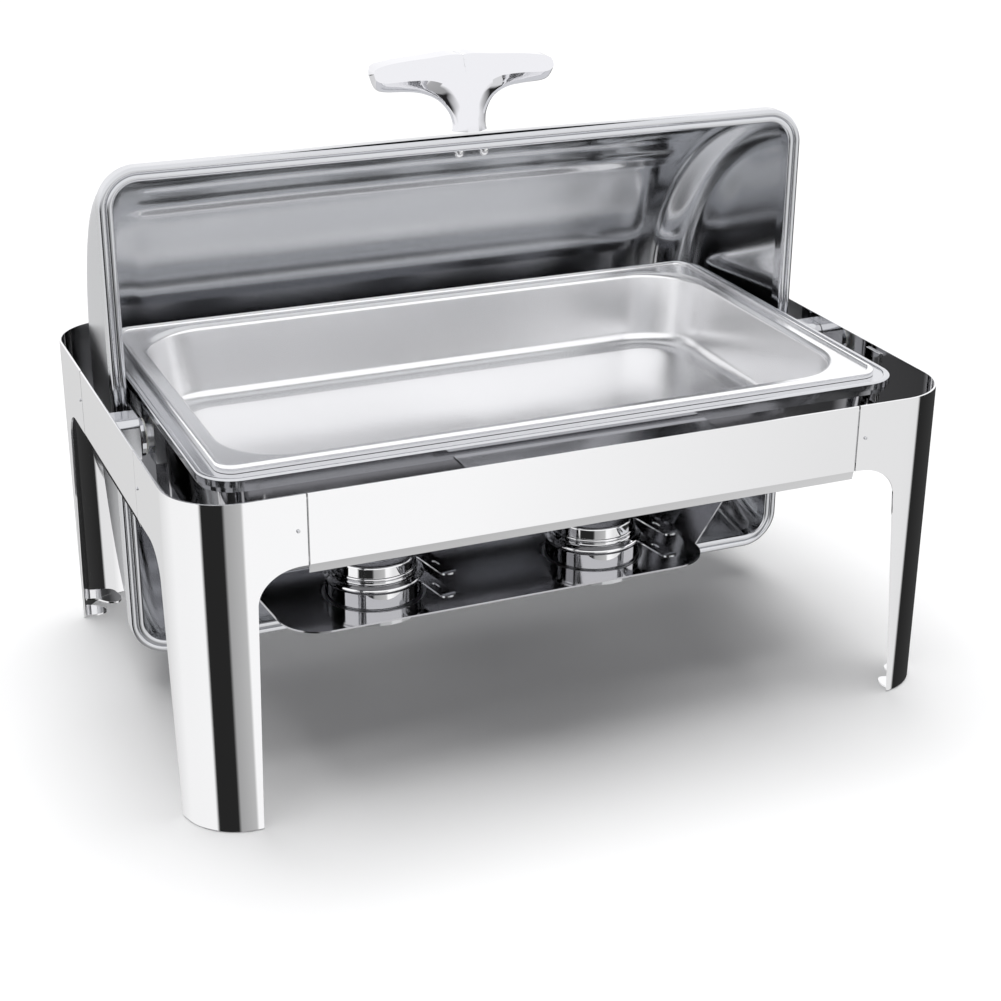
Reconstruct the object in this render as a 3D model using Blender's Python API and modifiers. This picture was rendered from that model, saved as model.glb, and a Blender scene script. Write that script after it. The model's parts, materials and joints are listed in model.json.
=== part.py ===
"""Roll top chafer: a pressed steel stand, a lid that rolls round a cross axis, two pans and two fuel burners.

Metres, +Z up. The origin is on the floor below the middle of the pans. X runs along the long side, and the
front of the stand faces -Y. The lid rests open, with its rim upright behind the hinge axis.
"""

import math

import bmesh
import bpy
from mathutils import Matrix, Vector

# ---- clearances -------------------------------------------------------------------------------------------
TOUCH = 0.0003  # between two pieces that seat on each other
RUNNING = 0.0003  # radial play of a turning fit
PAN_TO_LID_SIDE = 0.006  # water pan rim to the inside of the lid's rim
PAN_TO_LID_FRONT = 0.015  # the same, at the front and the back
LID_TO_RAIL_SIDE = 0.0105  # the lid's rim to the side rail, where the hinge blocks stand
LID_SWEEP_TO_RAIL = 0.0026  # the lid's sweep to the front and back rails
LID_SWEEP_TO_FLOOR = 0.0234
PAN_TO_CRADLE = 0.0014  # water pan's turned edge to the cradle inside it
CUP_TO_SEAT = 0.0007
CUP_TO_HOLE = 0.003

# ---- pans -------------------------------------------------------------------------------------------------
PAN_LENGTH = 0.530
PAN_WIDTH = 0.325
PAN_DEPTH = 0.065
PAN_CORNER = 0.014
PAN_FLANGE = 0.0155
PAN_WELL_CORNER = 0.055
PAN_RIM_HEIGHT = 0.0055
PAN_SHEET = 0.0008
WATER_SHOULDER = 0.0132  # water pan rim outside the food pan
WATER_DEPTH = 0.088
WATER_CORNER = 0.028
WATER_TURNED_EDGE = 0.006
WATER_WELL_INSET = 0.0175
WATER_WELL_DRAFT = 0.005
WATER_FLOOR_RISE = 0.006  # height of the curve between the well's wall and its floor

# ---- lid --------------------------------------------------------------------------------------------------
RIM_WIDTH = 0.011
RIM_DEPTH = 0.012
RIM_CORNER = 0.030
RIM_GROOVE = 0.0015
RIM_SHEET = 0.001
RIM_TO_AXIS = 0.0245  # the rim's open face to the hinge axis
SHELL_SHEET = 0.0008
SHELL_DRAFT = 0.085
ARM_SHEET = 0.003
ARM_HALF_WIDTH = 0.015
ARM_TO_RIM = 0.0005
ARM_RIVET_SPREAD = 0.009
RIVET_RADIUS = 0.0018

# ---- handle -----------------------------------------------------------------------------------------------
HANDLE_HALF_LENGTH = 0.0755
HANDLE_RISE = 0.057
HANDLE_BAR = 0.013
HANDLE_STEM_HALF = 0.0145
HANDLE_THICKNESS = 0.0085
HANDLE_BAR_THICKNESS = 0.017
HANDLE_LEAN = 0.027
NUT_SPREAD = 0.0105
NUT_RADIUS = 0.0052
STUD_RADIUS = 0.0024

# ---- hinge ------------------------------------------------------------------------------------------------
SHAFT_RADIUS = 0.009
BUSH_WALL = 0.003
BLOCK_HALF_WIDTH = 0.014
BLOCK_ABOVE = 0.019
BLOCK_BELOW = 0.018
BLOCK_TO_ARM = 0.0007
BLOCK_CORNER = 0.007
LOCK_SCREW_RADIUS = 0.0025
LOCK_SCREW_HEAD = 0.004

# ---- stand ------------------------------------------------------------------------------------------------
SHEET = 0.0015
HINGE_BELOW_TOP = 0.026
RAIL_HEIGHT = 0.053
RAIL_LIP = 0.007
RAIL_LIP_TILT = 0.0022
STAND_CORNER = 0.046
FRONT_LEG_TOP = 0.053  # width of a leg's front face under the rail
FRONT_LEG_FOOT = 0.041
SIDE_LEG_TOP = 0.057
SIDE_LEG_FOOT = 0.038
FRONT_LEG_LAP = 0.090  # from the stand's end to the front seam
SIDE_LEG_LAP = 0.120
ARCH_RISE = 0.026
FRONT_ARCH_RUN = 0.032
SIDE_ARCH_RUN = 0.028
FOOT_TAB = 0.018
LAP_TAB = 0.014
LAP_RIVET_HEAD = 0.003

# ---- cradle, ledge, tray and burners ------------------------------------------------------------------------
CRADLE_BAR = 0.010
CRADLE_DEPTH = 0.008
CRADLE_WINDOW_CORNER = 0.018
CRADLE_CHEEK = 0.0082
CRADLE_CHEEK_HALF = 0.020
CRADLE_CHEEK_BELOW = 0.016
PAN_RIM_ABOVE_AXIS = 0.029
LEDGE_HALF_LENGTH = 0.100
LEDGE_DEPTH = 0.027
LEDGE_TO_RIM = 0.0005  # the closed lid's rim to the ledge that it comes down on
LEDGE_FLANGE = 0.014
TRAY_HEIGHT = 0.066
TRAY_HALF_WIDTH = 0.057
TRAY_CORNER = 0.035
HANGER_HALF_WIDTH = 0.021
HANGER_SLOPE = math.radians(56.0)
HANGER_ABOVE_AXIS = 0.012
HANGER_TO_CHEEK = 0.0006
HANGER_TO_PAN = 0.0053
BURNER_SPACING = 0.198
BURNER_RADIUS = 0.040
BURNER_SHEET = 0.001
CUP_HEIGHT = 0.0325
CUP_BEAD = 0.0012
COVER_INSET = 0.004
COVER_HEIGHT = 0.015
COVER_MOUTH = 0.022
SEAT_DEPTH = 0.0115
SEAT_FLANGE = 0.006
STRIP_WIDTH = 0.013
STRIP_THICKNESS = 0.0015
STRIP_REACH = 0.077
STRIP_OFFSET = 0.028  # a strip runs beside the cup's axis, not from it
STRIP_ANGLE = math.radians(-80.0)

# ---- places that follow ------------------------------------------------------------------------------------
WATER_HALF_X = PAN_LENGTH / 2 + WATER_SHOULDER
WATER_HALF_Y = PAN_WIDTH / 2 + WATER_SHOULDER
RIM_INNER_X = WATER_HALF_X + PAN_TO_LID_SIDE
RIM_INNER_Z = WATER_HALF_Y + PAN_TO_LID_FRONT
RIM_OUTER_X = RIM_INNER_X + RIM_WIDTH
RIM_OUTER_Z = RIM_INNER_Z + RIM_WIDTH
RIM_BACK = RIM_TO_AXIS + RIM_DEPTH
RIM_MIDDLE = RIM_TO_AXIS + RIM_DEPTH / 2
LID_SWEEP = math.hypot(RIM_OUTER_Z, RIM_BACK)
AXIS_Z = LID_SWEEP + LID_SWEEP_TO_FLOOR
STAND_HEIGHT = AXIS_Z + HINGE_BELOW_TOP
RAIL_BOTTOM = STAND_HEIGHT - RAIL_HEIGHT
STAND_HALF_X = RIM_OUTER_X + LID_TO_RAIL_SIDE + SHEET
STAND_HALF_Y = LID_SWEEP + LID_SWEEP_TO_RAIL + SHEET
FRONT_SEAM = STAND_HALF_X - FRONT_LEG_LAP
SIDE_SEAM = STAND_HALF_Y - SIDE_LEG_LAP
WATER_TOP = AXIS_Z + PAN_RIM_ABOVE_AXIS
WATER_FLANGE_Z = WATER_TOP - 0.0013
FOOD_TOP = WATER_FLANGE_Z + TOUCH + PAN_RIM_HEIGHT
WATER_WELL_X = WATER_HALF_X - WATER_WELL_INSET
SHELL_EDGE = RIM_TO_AXIS + RIM_SHEET + RIM_GROOVE + TOUCH
SHELL_HALF_X = RIM_OUTER_X - RIM_SHEET - TOUCH - SHELL_SHEET
SHELL_RADIUS = math.hypot(RIM_OUTER_Z - RIM_SHEET - TOUCH - SHELL_SHEET, SHELL_EDGE)
SHELL_FILLET = RIM_CORNER - RIM_SHEET
BUSH_RADIUS = SHAFT_RADIUS + RUNNING + BUSH_WALL
ARM_OUT = RIM_INNER_X - ARM_TO_RIM
ARM_IN = ARM_OUT - ARM_SHEET
BLOCK_IN = ARM_OUT + BLOCK_TO_ARM
BLOCK_OUT = STAND_HALF_X - SHEET - TOUCH
CRADLE_HALF_X = WATER_HALF_X - PAN_SHEET - PAN_TO_CRADLE
CRADLE_HALF_Y = WATER_HALF_Y - PAN_SHEET - PAN_TO_CRADLE
CRADLE_CORNER = WATER_CORNER - PAN_SHEET - PAN_TO_CRADLE
CRADLE_TOP = WATER_FLANGE_Z - PAN_SHEET - TOUCH
CHEEK_IN = CRADLE_HALF_X - CRADLE_CHEEK
HANGER_OUT = CHEEK_IN - HANGER_TO_CHEEK
WATER_FLOOR_EDGE = WATER_TOP - WATER_DEPTH + WATER_FLOOR_RISE
HANGER_PASSES = WATER_WELL_X - WATER_WELL_DRAFT + PAN_SHEET + HANGER_TO_PAN
TRAY_HALF_LENGTH = HANGER_PASSES - (WATER_FLOOR_EDGE - TRAY_HEIGHT) / math.tan(HANGER_SLOPE)
BURNER_HOLE = BURNER_RADIUS + CUP_TO_HOLE
CUP_BOTTOM = TRAY_HEIGHT - SHEET - SEAT_DEPTH + BURNER_SHEET + TOUCH
CUP_TOP = CUP_BOTTOM + CUP_HEIGHT
COVER_BOTTOM = CUP_TOP + TOUCH

CUT_PAST = 0.002  # how far a cutter runs past the face that it opens


def clear_scene():
    for old in list(bpy.data.objects):
        bpy.data.objects.remove(old, do_unlink=True)


def new_collection(name):
    group = bpy.data.collections.new(name)
    bpy.context.scene.collection.children.link(group)
    return group


def new_material(name, colour, roughness, metallic):
    made = bpy.data.materials.new(name)
    made.use_nodes = True
    shader = made.node_tree.nodes["Principled BSDF"]
    shader.inputs["Base Color"].default_value = (*colour, 1.0)
    shader.inputs["Roughness"].default_value = roughness
    shader.inputs["Metallic"].default_value = metallic
    return made


clear_scene()
PARTS = new_collection("roll_top_chafer")
CUTTERS = new_collection("cutters")
MIRROR_STEEL = new_material("mirror_polished_steel", (0.80, 0.80, 0.81), 0.06, 1.0)
SATIN_STEEL = new_material("brushed_satin_steel", (0.62, 0.62, 0.63), 0.30, 1.0)
DARK_STEEL = new_material("shaded_sheet_steel", (0.20, 0.20, 0.21), 0.12, 1.0)
NYLON = new_material("acetal_bush", (0.75, 0.74, 0.70), 0.45, 0.0)


# ---- making solids ------------------------------------------------------------------------------------------
def finish(name, work, material, smooth=True):
    """Turn a bmesh into a named object of the part."""
    mesh = bpy.data.meshes.new(name)
    work.to_mesh(mesh)
    work.free()
    if smooth:
        mesh.shade_smooth()
        mesh.set_sharp_from_angle(angle=math.radians(35))
    obj = bpy.data.objects.new(name, mesh)
    obj.data.materials.append(material)
    PARTS.objects.link(obj)
    return obj


def as_cutter(obj):
    PARTS.objects.unlink(obj)
    CUTTERS.objects.link(obj)
    obj.hide_render = True
    obj.display_type = "WIRE"
    return obj


def boolean(obj, tool, operation="DIFFERENCE"):
    modifier = obj.modifiers.new(operation.lower(), "BOOLEAN")
    modifier.operation = operation
    modifier.solver = "EXACT"
    modifier.object = tool
    return obj


def cut(obj, tool):
    return boolean(obj, as_cutter(tool))


def join(obj, tool):
    return boolean(obj, as_cutter(tool), "UNION")


def box(name, low, high, material=MIRROR_STEEL):
    work = bmesh.new()
    bmesh.ops.create_cube(work, size=1.0)
    low, high = Vector(low), Vector(high)
    size = high - low
    bmesh.ops.transform(work, matrix=Matrix.Diagonal((*size, 1.0)), verts=work.verts)
    bmesh.ops.translate(work, vec=(low + high) / 2, verts=work.verts)
    return finish(name, work, material, smooth=False)


def cylinder(name, radius, start, end, material=MIRROR_STEEL, sides=24):
    """A round bar from one point to another."""
    start, end = Vector(start), Vector(end)
    work = bmesh.new()
    length = (end - start).length
    bmesh.ops.create_cone(work, cap_ends=True, segments=sides, radius1=radius, radius2=radius, depth=length)
    turn = (end - start).to_track_quat("Z", "Y").to_matrix().to_4x4()
    bmesh.ops.transform(work, matrix=Matrix.Translation((start + end) / 2) @ turn, verts=work.verts)
    return finish(name, work, material)


def prism(name, outline, axis, low, high, material=MIRROR_STEEL, smooth=True):
    """An outline in the plane across an axis, extruded from low to high along it."""
    spread = {
        "X": lambda a, b, c: (c, a, b),
        "Y": lambda a, b, c: (a, c, b),
        "Z": lambda a, b, c: (a, b, c),
    }[axis]
    work = bmesh.new()
    face = work.faces.new([work.verts.new(spread(a, b, low)) for a, b in outline])
    grown = bmesh.ops.extrude_face_region(work, geom=[face])
    moved = [item for item in grown["geom"] if isinstance(item, bmesh.types.BMVert)]
    bmesh.ops.translate(work, vec=Vector(spread(0, 0, high - low)), verts=moved)
    bmesh.ops.recalc_face_normals(work, faces=work.faces)
    return finish(name, work, material, smooth)


def arc(centre, radius_a, radius_b, start, end, steps):
    """Points along an ellipse's arc, in degrees."""
    points = []
    for step in range(steps + 1):
        angle = math.radians(start + (end - start) * step / steps)
        points.append((centre[0] + radius_a * math.cos(angle), centre[1] + radius_b * math.sin(angle)))
    return points


def rounded_rectangle(half_a, half_b, radius, steps=5, middle=(0.0, 0.0)):
    points = []
    for corner, (side_a, side_b) in enumerate(((1, 1), (-1, 1), (-1, -1), (1, -1))):
        centre = (middle[0] + side_a * (half_a - radius), middle[1] + side_b * (half_b - radius))
        points += arc(centre, radius, radius, 90 * corner, 90 * corner + 90, steps)
    return points


def loft(work, rings, ends_open=True, cyclic=False):
    """Faces between rings of as many points each."""
    made = [[work.verts.new(point) for point in ring] for ring in rings]
    pairs = list(zip(made, made[1:]))
    if cyclic:
        pairs.append((made[-1], made[0]))
    for first, second in pairs:
        for here in range(len(first)):
            there = (here + 1) % len(first)
            work.faces.new((first[here], first[there], second[there], second[here]))
    if not ends_open:
        work.faces.new(made[-1])
    return made


def turned(name, profile, centre, material=MIRROR_STEEL, steps=28):
    """A closed profile of (radius, height) points turned about an upright axis by a Screw modifier."""
    work = bmesh.new()
    ring = [work.verts.new((radius, 0, height)) for radius, height in profile]
    for first, second in zip(ring, ring[1:] + ring[:1]):
        work.edges.new((first, second))
    obj = finish(name, work, material)
    obj.location = centre
    screw = obj.modifiers.new("turn", "SCREW")
    screw.axis = "Z"
    screw.angle = math.tau
    screw.steps = steps
    screw.render_steps = steps
    screw.use_merge_vertices = True
    screw.merge_threshold = 0.00001
    screw.use_smooth_shade = True
    return obj


def thicken(obj, thickness, offset):
    modifier = obj.modifiers.new("sheet", "SOLIDIFY")
    modifier.thickness = thickness
    modifier.offset = offset
    modifier.use_even_offset = True
    return obj


def bevel(obj, width, segments=2, angle=40):
    modifier = obj.modifiers.new("bevel", "BEVEL")
    modifier.width = width
    modifier.segments = segments
    modifier.limit_method = "ANGLE"
    modifier.angle_limit = math.radians(angle)
    return obj


def new_axis(name, place):
    empty = bpy.data.objects.new(name, None)
    empty.location = place
    empty.empty_display_size = 0.05
    PARTS.objects.link(empty)
    return empty


def hang_on(obj, axis):
    """Give a moving piece its origin on its joint's axis."""
    obj.data.transform(Matrix.Translation(Vector(obj.location) - Vector(axis.location)))
    obj.location = (0, 0, 0)
    obj.parent = axis
    return obj


# ---- stand ------------------------------------------------------------------------------------------------
def leg_plan(side_x, side_y):
    """Plan of a leg: one bent strip, round the stand's corner from the front seam to the side seam."""
    points = []
    for inset, forward in ((0.0, True), (SHEET, False)):
        centre = (STAND_HALF_X - STAND_CORNER, STAND_HALF_Y - STAND_CORNER)
        radius = STAND_CORNER - inset
        run = [(FRONT_SEAM, STAND_HALF_Y - inset)]
        run += arc(centre, radius, radius, 90, 0, 9)
        run += [(STAND_HALF_X - inset, SIDE_SEAM)]
        points += run if forward else run[::-1]
    return [(side_x * a, side_y * b) for a, b in points]


def arch_outline(seam, foot, top, run, rise):
    """The opening beside a leg, in the plane of one face: up the leg's inner edge and over to the seam."""
    corner = arc((top - run, RAIL_BOTTOM - rise), run, rise, 0, 90, 6)
    return [(seam - CUT_PAST, -CUT_PAST), (foot, -CUT_PAST)] + corner + [(seam - CUT_PAST, RAIL_BOTTOM)]


def foot_tab(name, side_x, side_y, start, end):
    """A rounded tab turned in from the leg's bottom edge, between two angles round the corner."""
    centre = (STAND_HALF_X - STAND_CORNER, STAND_HALF_Y - STAND_CORNER)
    radius = STAND_CORNER - 0.4 * SHEET
    rim = arc(centre, radius, radius, start, end, 4)
    points = list(rim)
    for step in range(7):
        share = math.pi * step / 6
        angle = math.radians(end + (start - end) * (1 - math.cos(share)) / 2)
        reach = radius - FOOT_TAB * (0.45 + 0.55 * math.sin(share))
        points.append((centre[0] + reach * math.cos(angle), centre[1] + reach * math.sin(angle)))
    outline = [(side_x * a, side_y * b) for a, b in points]
    return prism(name, outline, "Z", 0.0, SHEET)


def rivet_place(face, side_a, side_b):
    """Where a rivet joins a leg to a rail: its axis and its place on the outer face."""
    height = STAND_HEIGHT - RAIL_HEIGHT / 2
    if face == "front":
        return Vector((side_a * (FRONT_SEAM + LAP_TAB / 2), side_b * STAND_HALF_Y, height)), Vector((0, side_b, 0))
    return Vector((side_a * STAND_HALF_X, side_b * (SIDE_SEAM + LAP_TAB / 2), height)), Vector((side_a, 0, 0))


def rivet_hole(name, face, side_a, side_b):
    place, out = rivet_place(face, side_a, side_b)
    return cylinder(name, RIVET_RADIUS + TOUCH, place + out * CUT_PAST, place - out * 0.008, sides=12)


def make_leg(name, side_x, side_y):
    leg = prism(name, leg_plan(side_x, side_y), "Z", SHEET / 2, STAND_HEIGHT)
    foot = STAND_HALF_X - FRONT_LEG_FOOT
    front = arch_outline(FRONT_SEAM, foot, STAND_HALF_X - FRONT_LEG_TOP, FRONT_ARCH_RUN, ARCH_RISE)
    front = [(side_x * a, b) for a, b in front]
    reach = sorted((side_y * (STAND_HALF_Y - 0.020), side_y * (STAND_HALF_Y + 0.010)))
    cut(leg, prism(name + "_front_arch", front, "Y", *reach))
    foot = STAND_HALF_Y - SIDE_LEG_FOOT
    side = arch_outline(SIDE_SEAM, foot, STAND_HALF_Y - SIDE_LEG_TOP, SIDE_ARCH_RUN, ARCH_RISE)
    side = [(side_y * a, b) for a, b in side]
    reach = sorted((side_x * (STAND_HALF_X - 0.020), side_x * (STAND_HALF_X + 0.010)))
    cut(leg, prism(name + "_side_arch", side, "X", *reach))
    join(leg, foot_tab(name + "_front_tab", side_x, side_y, 53, 79))
    join(leg, foot_tab(name + "_side_tab", side_x, side_y, 11, 37))
    cut(leg, rivet_hole(name + "_front_hole", "front", side_x, side_y))
    cut(leg, rivet_hole(name + "_side_hole", "side", side_x, side_y))
    return leg


def rail_section():
    """Section of a rail as (depth behind the outer face, height): an upright web over a lip set back."""
    foot = RAIL_BOTTOM - RAIL_LIP
    return [
        (0.0, STAND_HEIGHT),
        (0.0, RAIL_BOTTOM),
        (RAIL_LIP_TILT, foot),
        (RAIL_LIP_TILT + SHEET, foot),
        (SHEET, RAIL_BOTTOM),
        (SHEET, STAND_HEIGHT),
    ]


def make_rail(name, face, side):
    """A rail between two legs, with a lap tab behind each leg's sheet."""
    across, seam = ("X", FRONT_SEAM) if face == "front" else ("Y", SIDE_SEAM)
    half = STAND_HALF_Y if face == "front" else STAND_HALF_X
    outline = [(side * (half - depth), height) for depth, height in rail_section()]
    rail = prism(name, outline, across, -seam + TOUCH, seam - TOUCH)
    low, high = RAIL_BOTTOM + 0.006, STAND_HEIGHT - 0.004
    for end in (-1, 1):
        for label, start, stop, outer in (
            ("root", seam - 0.012, seam - 0.001, half - SHEET / 2),
            ("tab", seam - 0.006, seam + LAP_TAB, half - SHEET - TOUCH),
        ):
            inner = half - 2 * SHEET - TOUCH
            along = sorted((end * start, end * stop))
            depth = sorted((side * inner, side * outer))
            if face == "front":
                corners = (along[0], depth[0], low), (along[1], depth[1], high)
            else:
                corners = (depth[0], along[0], low), (depth[1], along[1], high)
            join(rail, box(f"{name}_{label}_{end}", *corners))
        sides = (end, side) if face == "front" else (side, end)
        cut(rail, rivet_hole(f"{name}_hole_{end}", face, *sides))
    return rail


def make_lap_rivet(name, face, side_a, side_b):
    place, out = rivet_place(face, side_a, side_b)
    rivet = cylinder(name, LAP_RIVET_HEAD, place + out * TOUCH, place + out * (TOUCH + 0.0007), sides=16)
    shank = cylinder(name + "_shank", RIVET_RADIUS, place + out * 0.0005, place - out * 2 * SHEET, sides=12)
    return join(rivet, shank)


def make_stand():
    for depth, side_y in (("front", -1), ("back", 1)):
        for hand, side_x in (("left", -1), ("right", 1)):
            make_leg(f"leg_{depth}_{hand}", side_x, side_y)
            make_lap_rivet(f"rail_rivet_{depth}_{hand}", "front", side_x, side_y)
            make_lap_rivet(f"side_rivet_{depth}_{hand}", "side", side_x, side_y)
    make_rail("rail_front", "front", -1)
    make_rail("rail_back", "front", 1)
    make_rail("rail_left", "side", -1)
    make_rail("rail_right", "side", 1)


def make_ledge():
    """The plate inside the front rail that the closed lid's rim comes down on."""
    top = AXIS_Z + RIM_TO_AXIS - LEDGE_TO_RIM
    back = -(STAND_HALF_Y - SHEET - TOUCH)
    outline = [
        (back, top),
        (back, top - LEDGE_FLANGE),
        (back + SHEET, top - LEDGE_FLANGE),
        (back + SHEET, top - SHEET),
        (back + LEDGE_DEPTH, top - SHEET),
        (back + LEDGE_DEPTH, top),
    ]
    return prism("lid_rest_ledge", outline, "X", -LEDGE_HALF_LENGTH, LEDGE_HALF_LENGTH, DARK_STEEL, smooth=False)


# ---- hinge ------------------------------------------------------------------------------------------------
def make_hinge_block(hand, side):
    middle = (BLOCK_ABOVE - BLOCK_BELOW) / 2
    half_height = (BLOCK_ABOVE + BLOCK_BELOW) / 2
    outline = rounded_rectangle(BLOCK_HALF_WIDTH, half_height, BLOCK_CORNER, 4, (0.0, AXIS_Z + middle))
    reach = sorted((side * BLOCK_IN, side * BLOCK_OUT))
    block = prism(f"hinge_block_{hand}", outline, "X", *reach)
    hole = SHAFT_RADIUS + TOUCH
    cut(block, cylinder(f"block_bore_{hand}", hole, (side * (BLOCK_IN - CUT_PAST), 0, AXIS_Z),
                        (side * (BLOCK_OUT - 0.003), 0, AXIS_Z)))
    middle_x = side * (BLOCK_IN + BLOCK_OUT) / 2
    cut(block, cylinder(f"lock_bore_{hand}", LOCK_SCREW_RADIUS + TOUCH,
                        (middle_x, 0, AXIS_Z - BLOCK_BELOW - CUT_PAST), (middle_x, 0, AXIS_Z), sides=16))
    return block


def make_lock_screw(hand, side):
    """The screw under a hinge block that grips the shaft."""
    middle_x = side * (BLOCK_IN + BLOCK_OUT) / 2
    seat = AXIS_Z - BLOCK_BELOW - TOUCH
    screw = cylinder(f"shaft_lock_screw_{hand}", LOCK_SCREW_HEAD, (middle_x, 0, seat - 0.004),
                     (middle_x, 0, seat), SATIN_STEEL, sides=6)
    shank = cylinder(f"lock_shank_{hand}", LOCK_SCREW_RADIUS, (middle_x, 0, seat - 0.001),
                     (middle_x, 0, AXIS_Z - SHAFT_RADIUS - TOUCH), sides=12)
    return join(screw, shank)


def make_shaft(hand, side):
    start, end = HANGER_OUT - SHEET, BLOCK_OUT - 0.003 - TOUCH
    return cylinder(f"hinge_shaft_{hand}", SHAFT_RADIUS, (side * start, 0, AXIS_Z), (side * end, 0, AXIS_Z),
                    SATIN_STEEL, sides=32)


# ---- cradle and tray --------------------------------------------------------------------------------------
def make_cradle():
    """The ring that the water pan drops into, with a cheek at each end that hangs on its hinge shaft."""
    outer = rounded_rectangle(CRADLE_HALF_X, CRADLE_HALF_Y, CRADLE_CORNER)
    cradle = prism("pan_cradle", outer, "Z", CRADLE_TOP - CRADLE_DEPTH, CRADLE_TOP)
    inner = rounded_rectangle(CRADLE_HALF_X - CRADLE_BAR, CRADLE_HALF_Y - CRADLE_BAR, CRADLE_WINDOW_CORNER)
    cut(cradle, prism("cradle_window", inner, "Z", CRADLE_TOP - 0.04, CRADLE_TOP + 0.01))
    for side in (-1, 1):
        reach = sorted((side * CHEEK_IN, side * (CRADLE_HALF_X - 0.0002)))
        cheek = box(f"cradle_cheek_{side}", (reach[0], -CRADLE_CHEEK_HALF, AXIS_Z - CRADLE_CHEEK_BELOW),
                    (reach[1], CRADLE_CHEEK_HALF, CRADLE_TOP - CRADLE_DEPTH / 2))
        join(cradle, cheek)
        cut(cradle, cylinder(f"cheek_bore_{side}", SHAFT_RADIUS + TOUCH, (side * (CHEEK_IN - 0.01), 0, AXIS_Z),
                             (side * (CRADLE_HALF_X + 0.01), 0, AXIS_Z)))
    return cradle


def make_tray():
    """The burner tray: a flat plate whose two ends slope up to the hinge shafts."""
    outline = rounded_rectangle(TRAY_HALF_LENGTH, TRAY_HALF_WIDTH, TRAY_CORNER)
    tray = prism("burner_tray", outline, "Z", TRAY_HEIGHT - SHEET, TRAY_HEIGHT, DARK_STEEL)
    slope = math.tan(HANGER_SLOPE)
    knee = TRAY_HEIGHT + (HANGER_OUT - SHEET - TRAY_HALF_LENGTH) * slope
    outer_knee = TRAY_HEIGHT + (HANGER_OUT - TRAY_HALF_LENGTH - SHEET / math.sin(HANGER_SLOPE)) * slope
    top = AXIS_Z + HANGER_ABOVE_AXIS
    skin = 0.0001
    for side in (-1, 1):
        section = [
            (TRAY_HALF_LENGTH - 0.010, TRAY_HEIGHT - SHEET + skin),
            (TRAY_HALF_LENGTH + SHEET * math.tan(HANGER_SLOPE / 2), TRAY_HEIGHT - SHEET + skin),
            (HANGER_OUT, outer_knee),
            (HANGER_OUT, top),
            (HANGER_OUT - SHEET, top),
            (HANGER_OUT - SHEET, knee),
            (TRAY_HALF_LENGTH, TRAY_HEIGHT - skin),
            (TRAY_HALF_LENGTH - 0.010, TRAY_HEIGHT - skin),
        ]
        section = [(side * a, b) for a, b in section]
        hanger = prism(f"tray_hanger_{side}", section, "Y", -HANGER_HALF_WIDTH, HANGER_HALF_WIDTH)
        join(tray, hanger)
        cut(tray, cylinder(f"hanger_bore_{side}", SHAFT_RADIUS + TOUCH, (side * (HANGER_OUT - 0.01), 0, AXIS_Z),
                           (side * (HANGER_OUT + 0.01), 0, AXIS_Z)))
        cut(tray, cylinder(f"burner_hole_{side}", BURNER_HOLE, (side * BURNER_SPACING / 2, 0, TRAY_HEIGHT - 0.01),
                           (side * BURNER_SPACING / 2, 0, TRAY_HEIGHT + 0.01), sides=32))
    return tray


# ---- pans -------------------------------------------------------------------------------------------------
def pan_shell(name, sections, sheet, material):
    """A drawn pan: rounded rectangles from its turned outer edge, over the rim and down to its floor."""
    work = bmesh.new()
    rings = []
    for half_x, half_y, radius, height in sections:
        rings.append([(a, b, height) for a, b in rounded_rectangle(half_x, half_y, radius, 6)])
    loft(work, rings, ends_open=False)
    pan = finish(name, work, material)
    return thicken(pan, sheet, -1.0)


def make_water_pan():
    def section(inset, height, radius):
        return (WATER_HALF_X - inset, WATER_HALF_Y - inset, radius, WATER_TOP + height)

    flange = WATER_FLANGE_Z - WATER_TOP
    well = WATER_WELL_INSET
    sections = [
        section(0.0, -WATER_TURNED_EDGE, WATER_CORNER),
        section(0.0, -0.0016, WATER_CORNER),
        section(0.0008, -0.0004, WATER_CORNER - 0.0008),
        section(0.0022, 0.0, WATER_CORNER - 0.0022),
        section(0.0036, -0.0005, WATER_CORNER - 0.0036),
        section(0.0046, flange, WATER_CORNER - 0.0046),
        section(well - 0.002, flange, WATER_CORNER - 0.008),
        section(well, flange - 0.002, WATER_CORNER - 0.008),
        section(well + 0.002, flange - 0.050, WATER_CORNER - 0.008),
        section(well + WATER_WELL_DRAFT, WATER_FLOOR_RISE - WATER_DEPTH, WATER_CORNER - 0.008),
        section(well + 0.012, -WATER_DEPTH, WATER_CORNER - 0.010),
    ]
    return pan_shell("water_pan", sections, PAN_SHEET, MIRROR_STEEL)


def make_food_pan():
    def section(inset, height, radius):
        return (PAN_LENGTH / 2 - inset, PAN_WIDTH / 2 - inset, radius, FOOD_TOP + height)

    flange = -0.0016
    well = PAN_FLANGE
    sections = [
        section(0.0, -PAN_RIM_HEIGHT, PAN_CORNER),
        section(0.0, -0.0014, PAN_CORNER),
        section(0.0007, -0.0004, PAN_CORNER - 0.0007),
        section(0.0020, 0.0, PAN_CORNER - 0.0020),
        section(0.0034, -0.0004, PAN_CORNER - 0.0030),
        section(0.0048, flange, PAN_CORNER - 0.0036),
        section(well - 0.004, flange, PAN_WELL_CORNER + 0.004),
        section(well - 0.001, flange - 0.001, PAN_WELL_CORNER),
        section(well + 0.001, flange - 0.004, PAN_WELL_CORNER),
        section(well + 0.006, 0.012 - PAN_DEPTH, PAN_WELL_CORNER - 0.003),
        section(well + 0.009, 0.003 - PAN_DEPTH, PAN_WELL_CORNER - 0.005),
        section(well + 0.016, -PAN_DEPTH, PAN_WELL_CORNER - 0.010),
    ]
    return pan_shell("food_pan", sections, PAN_SHEET, SATIN_STEEL)


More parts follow.
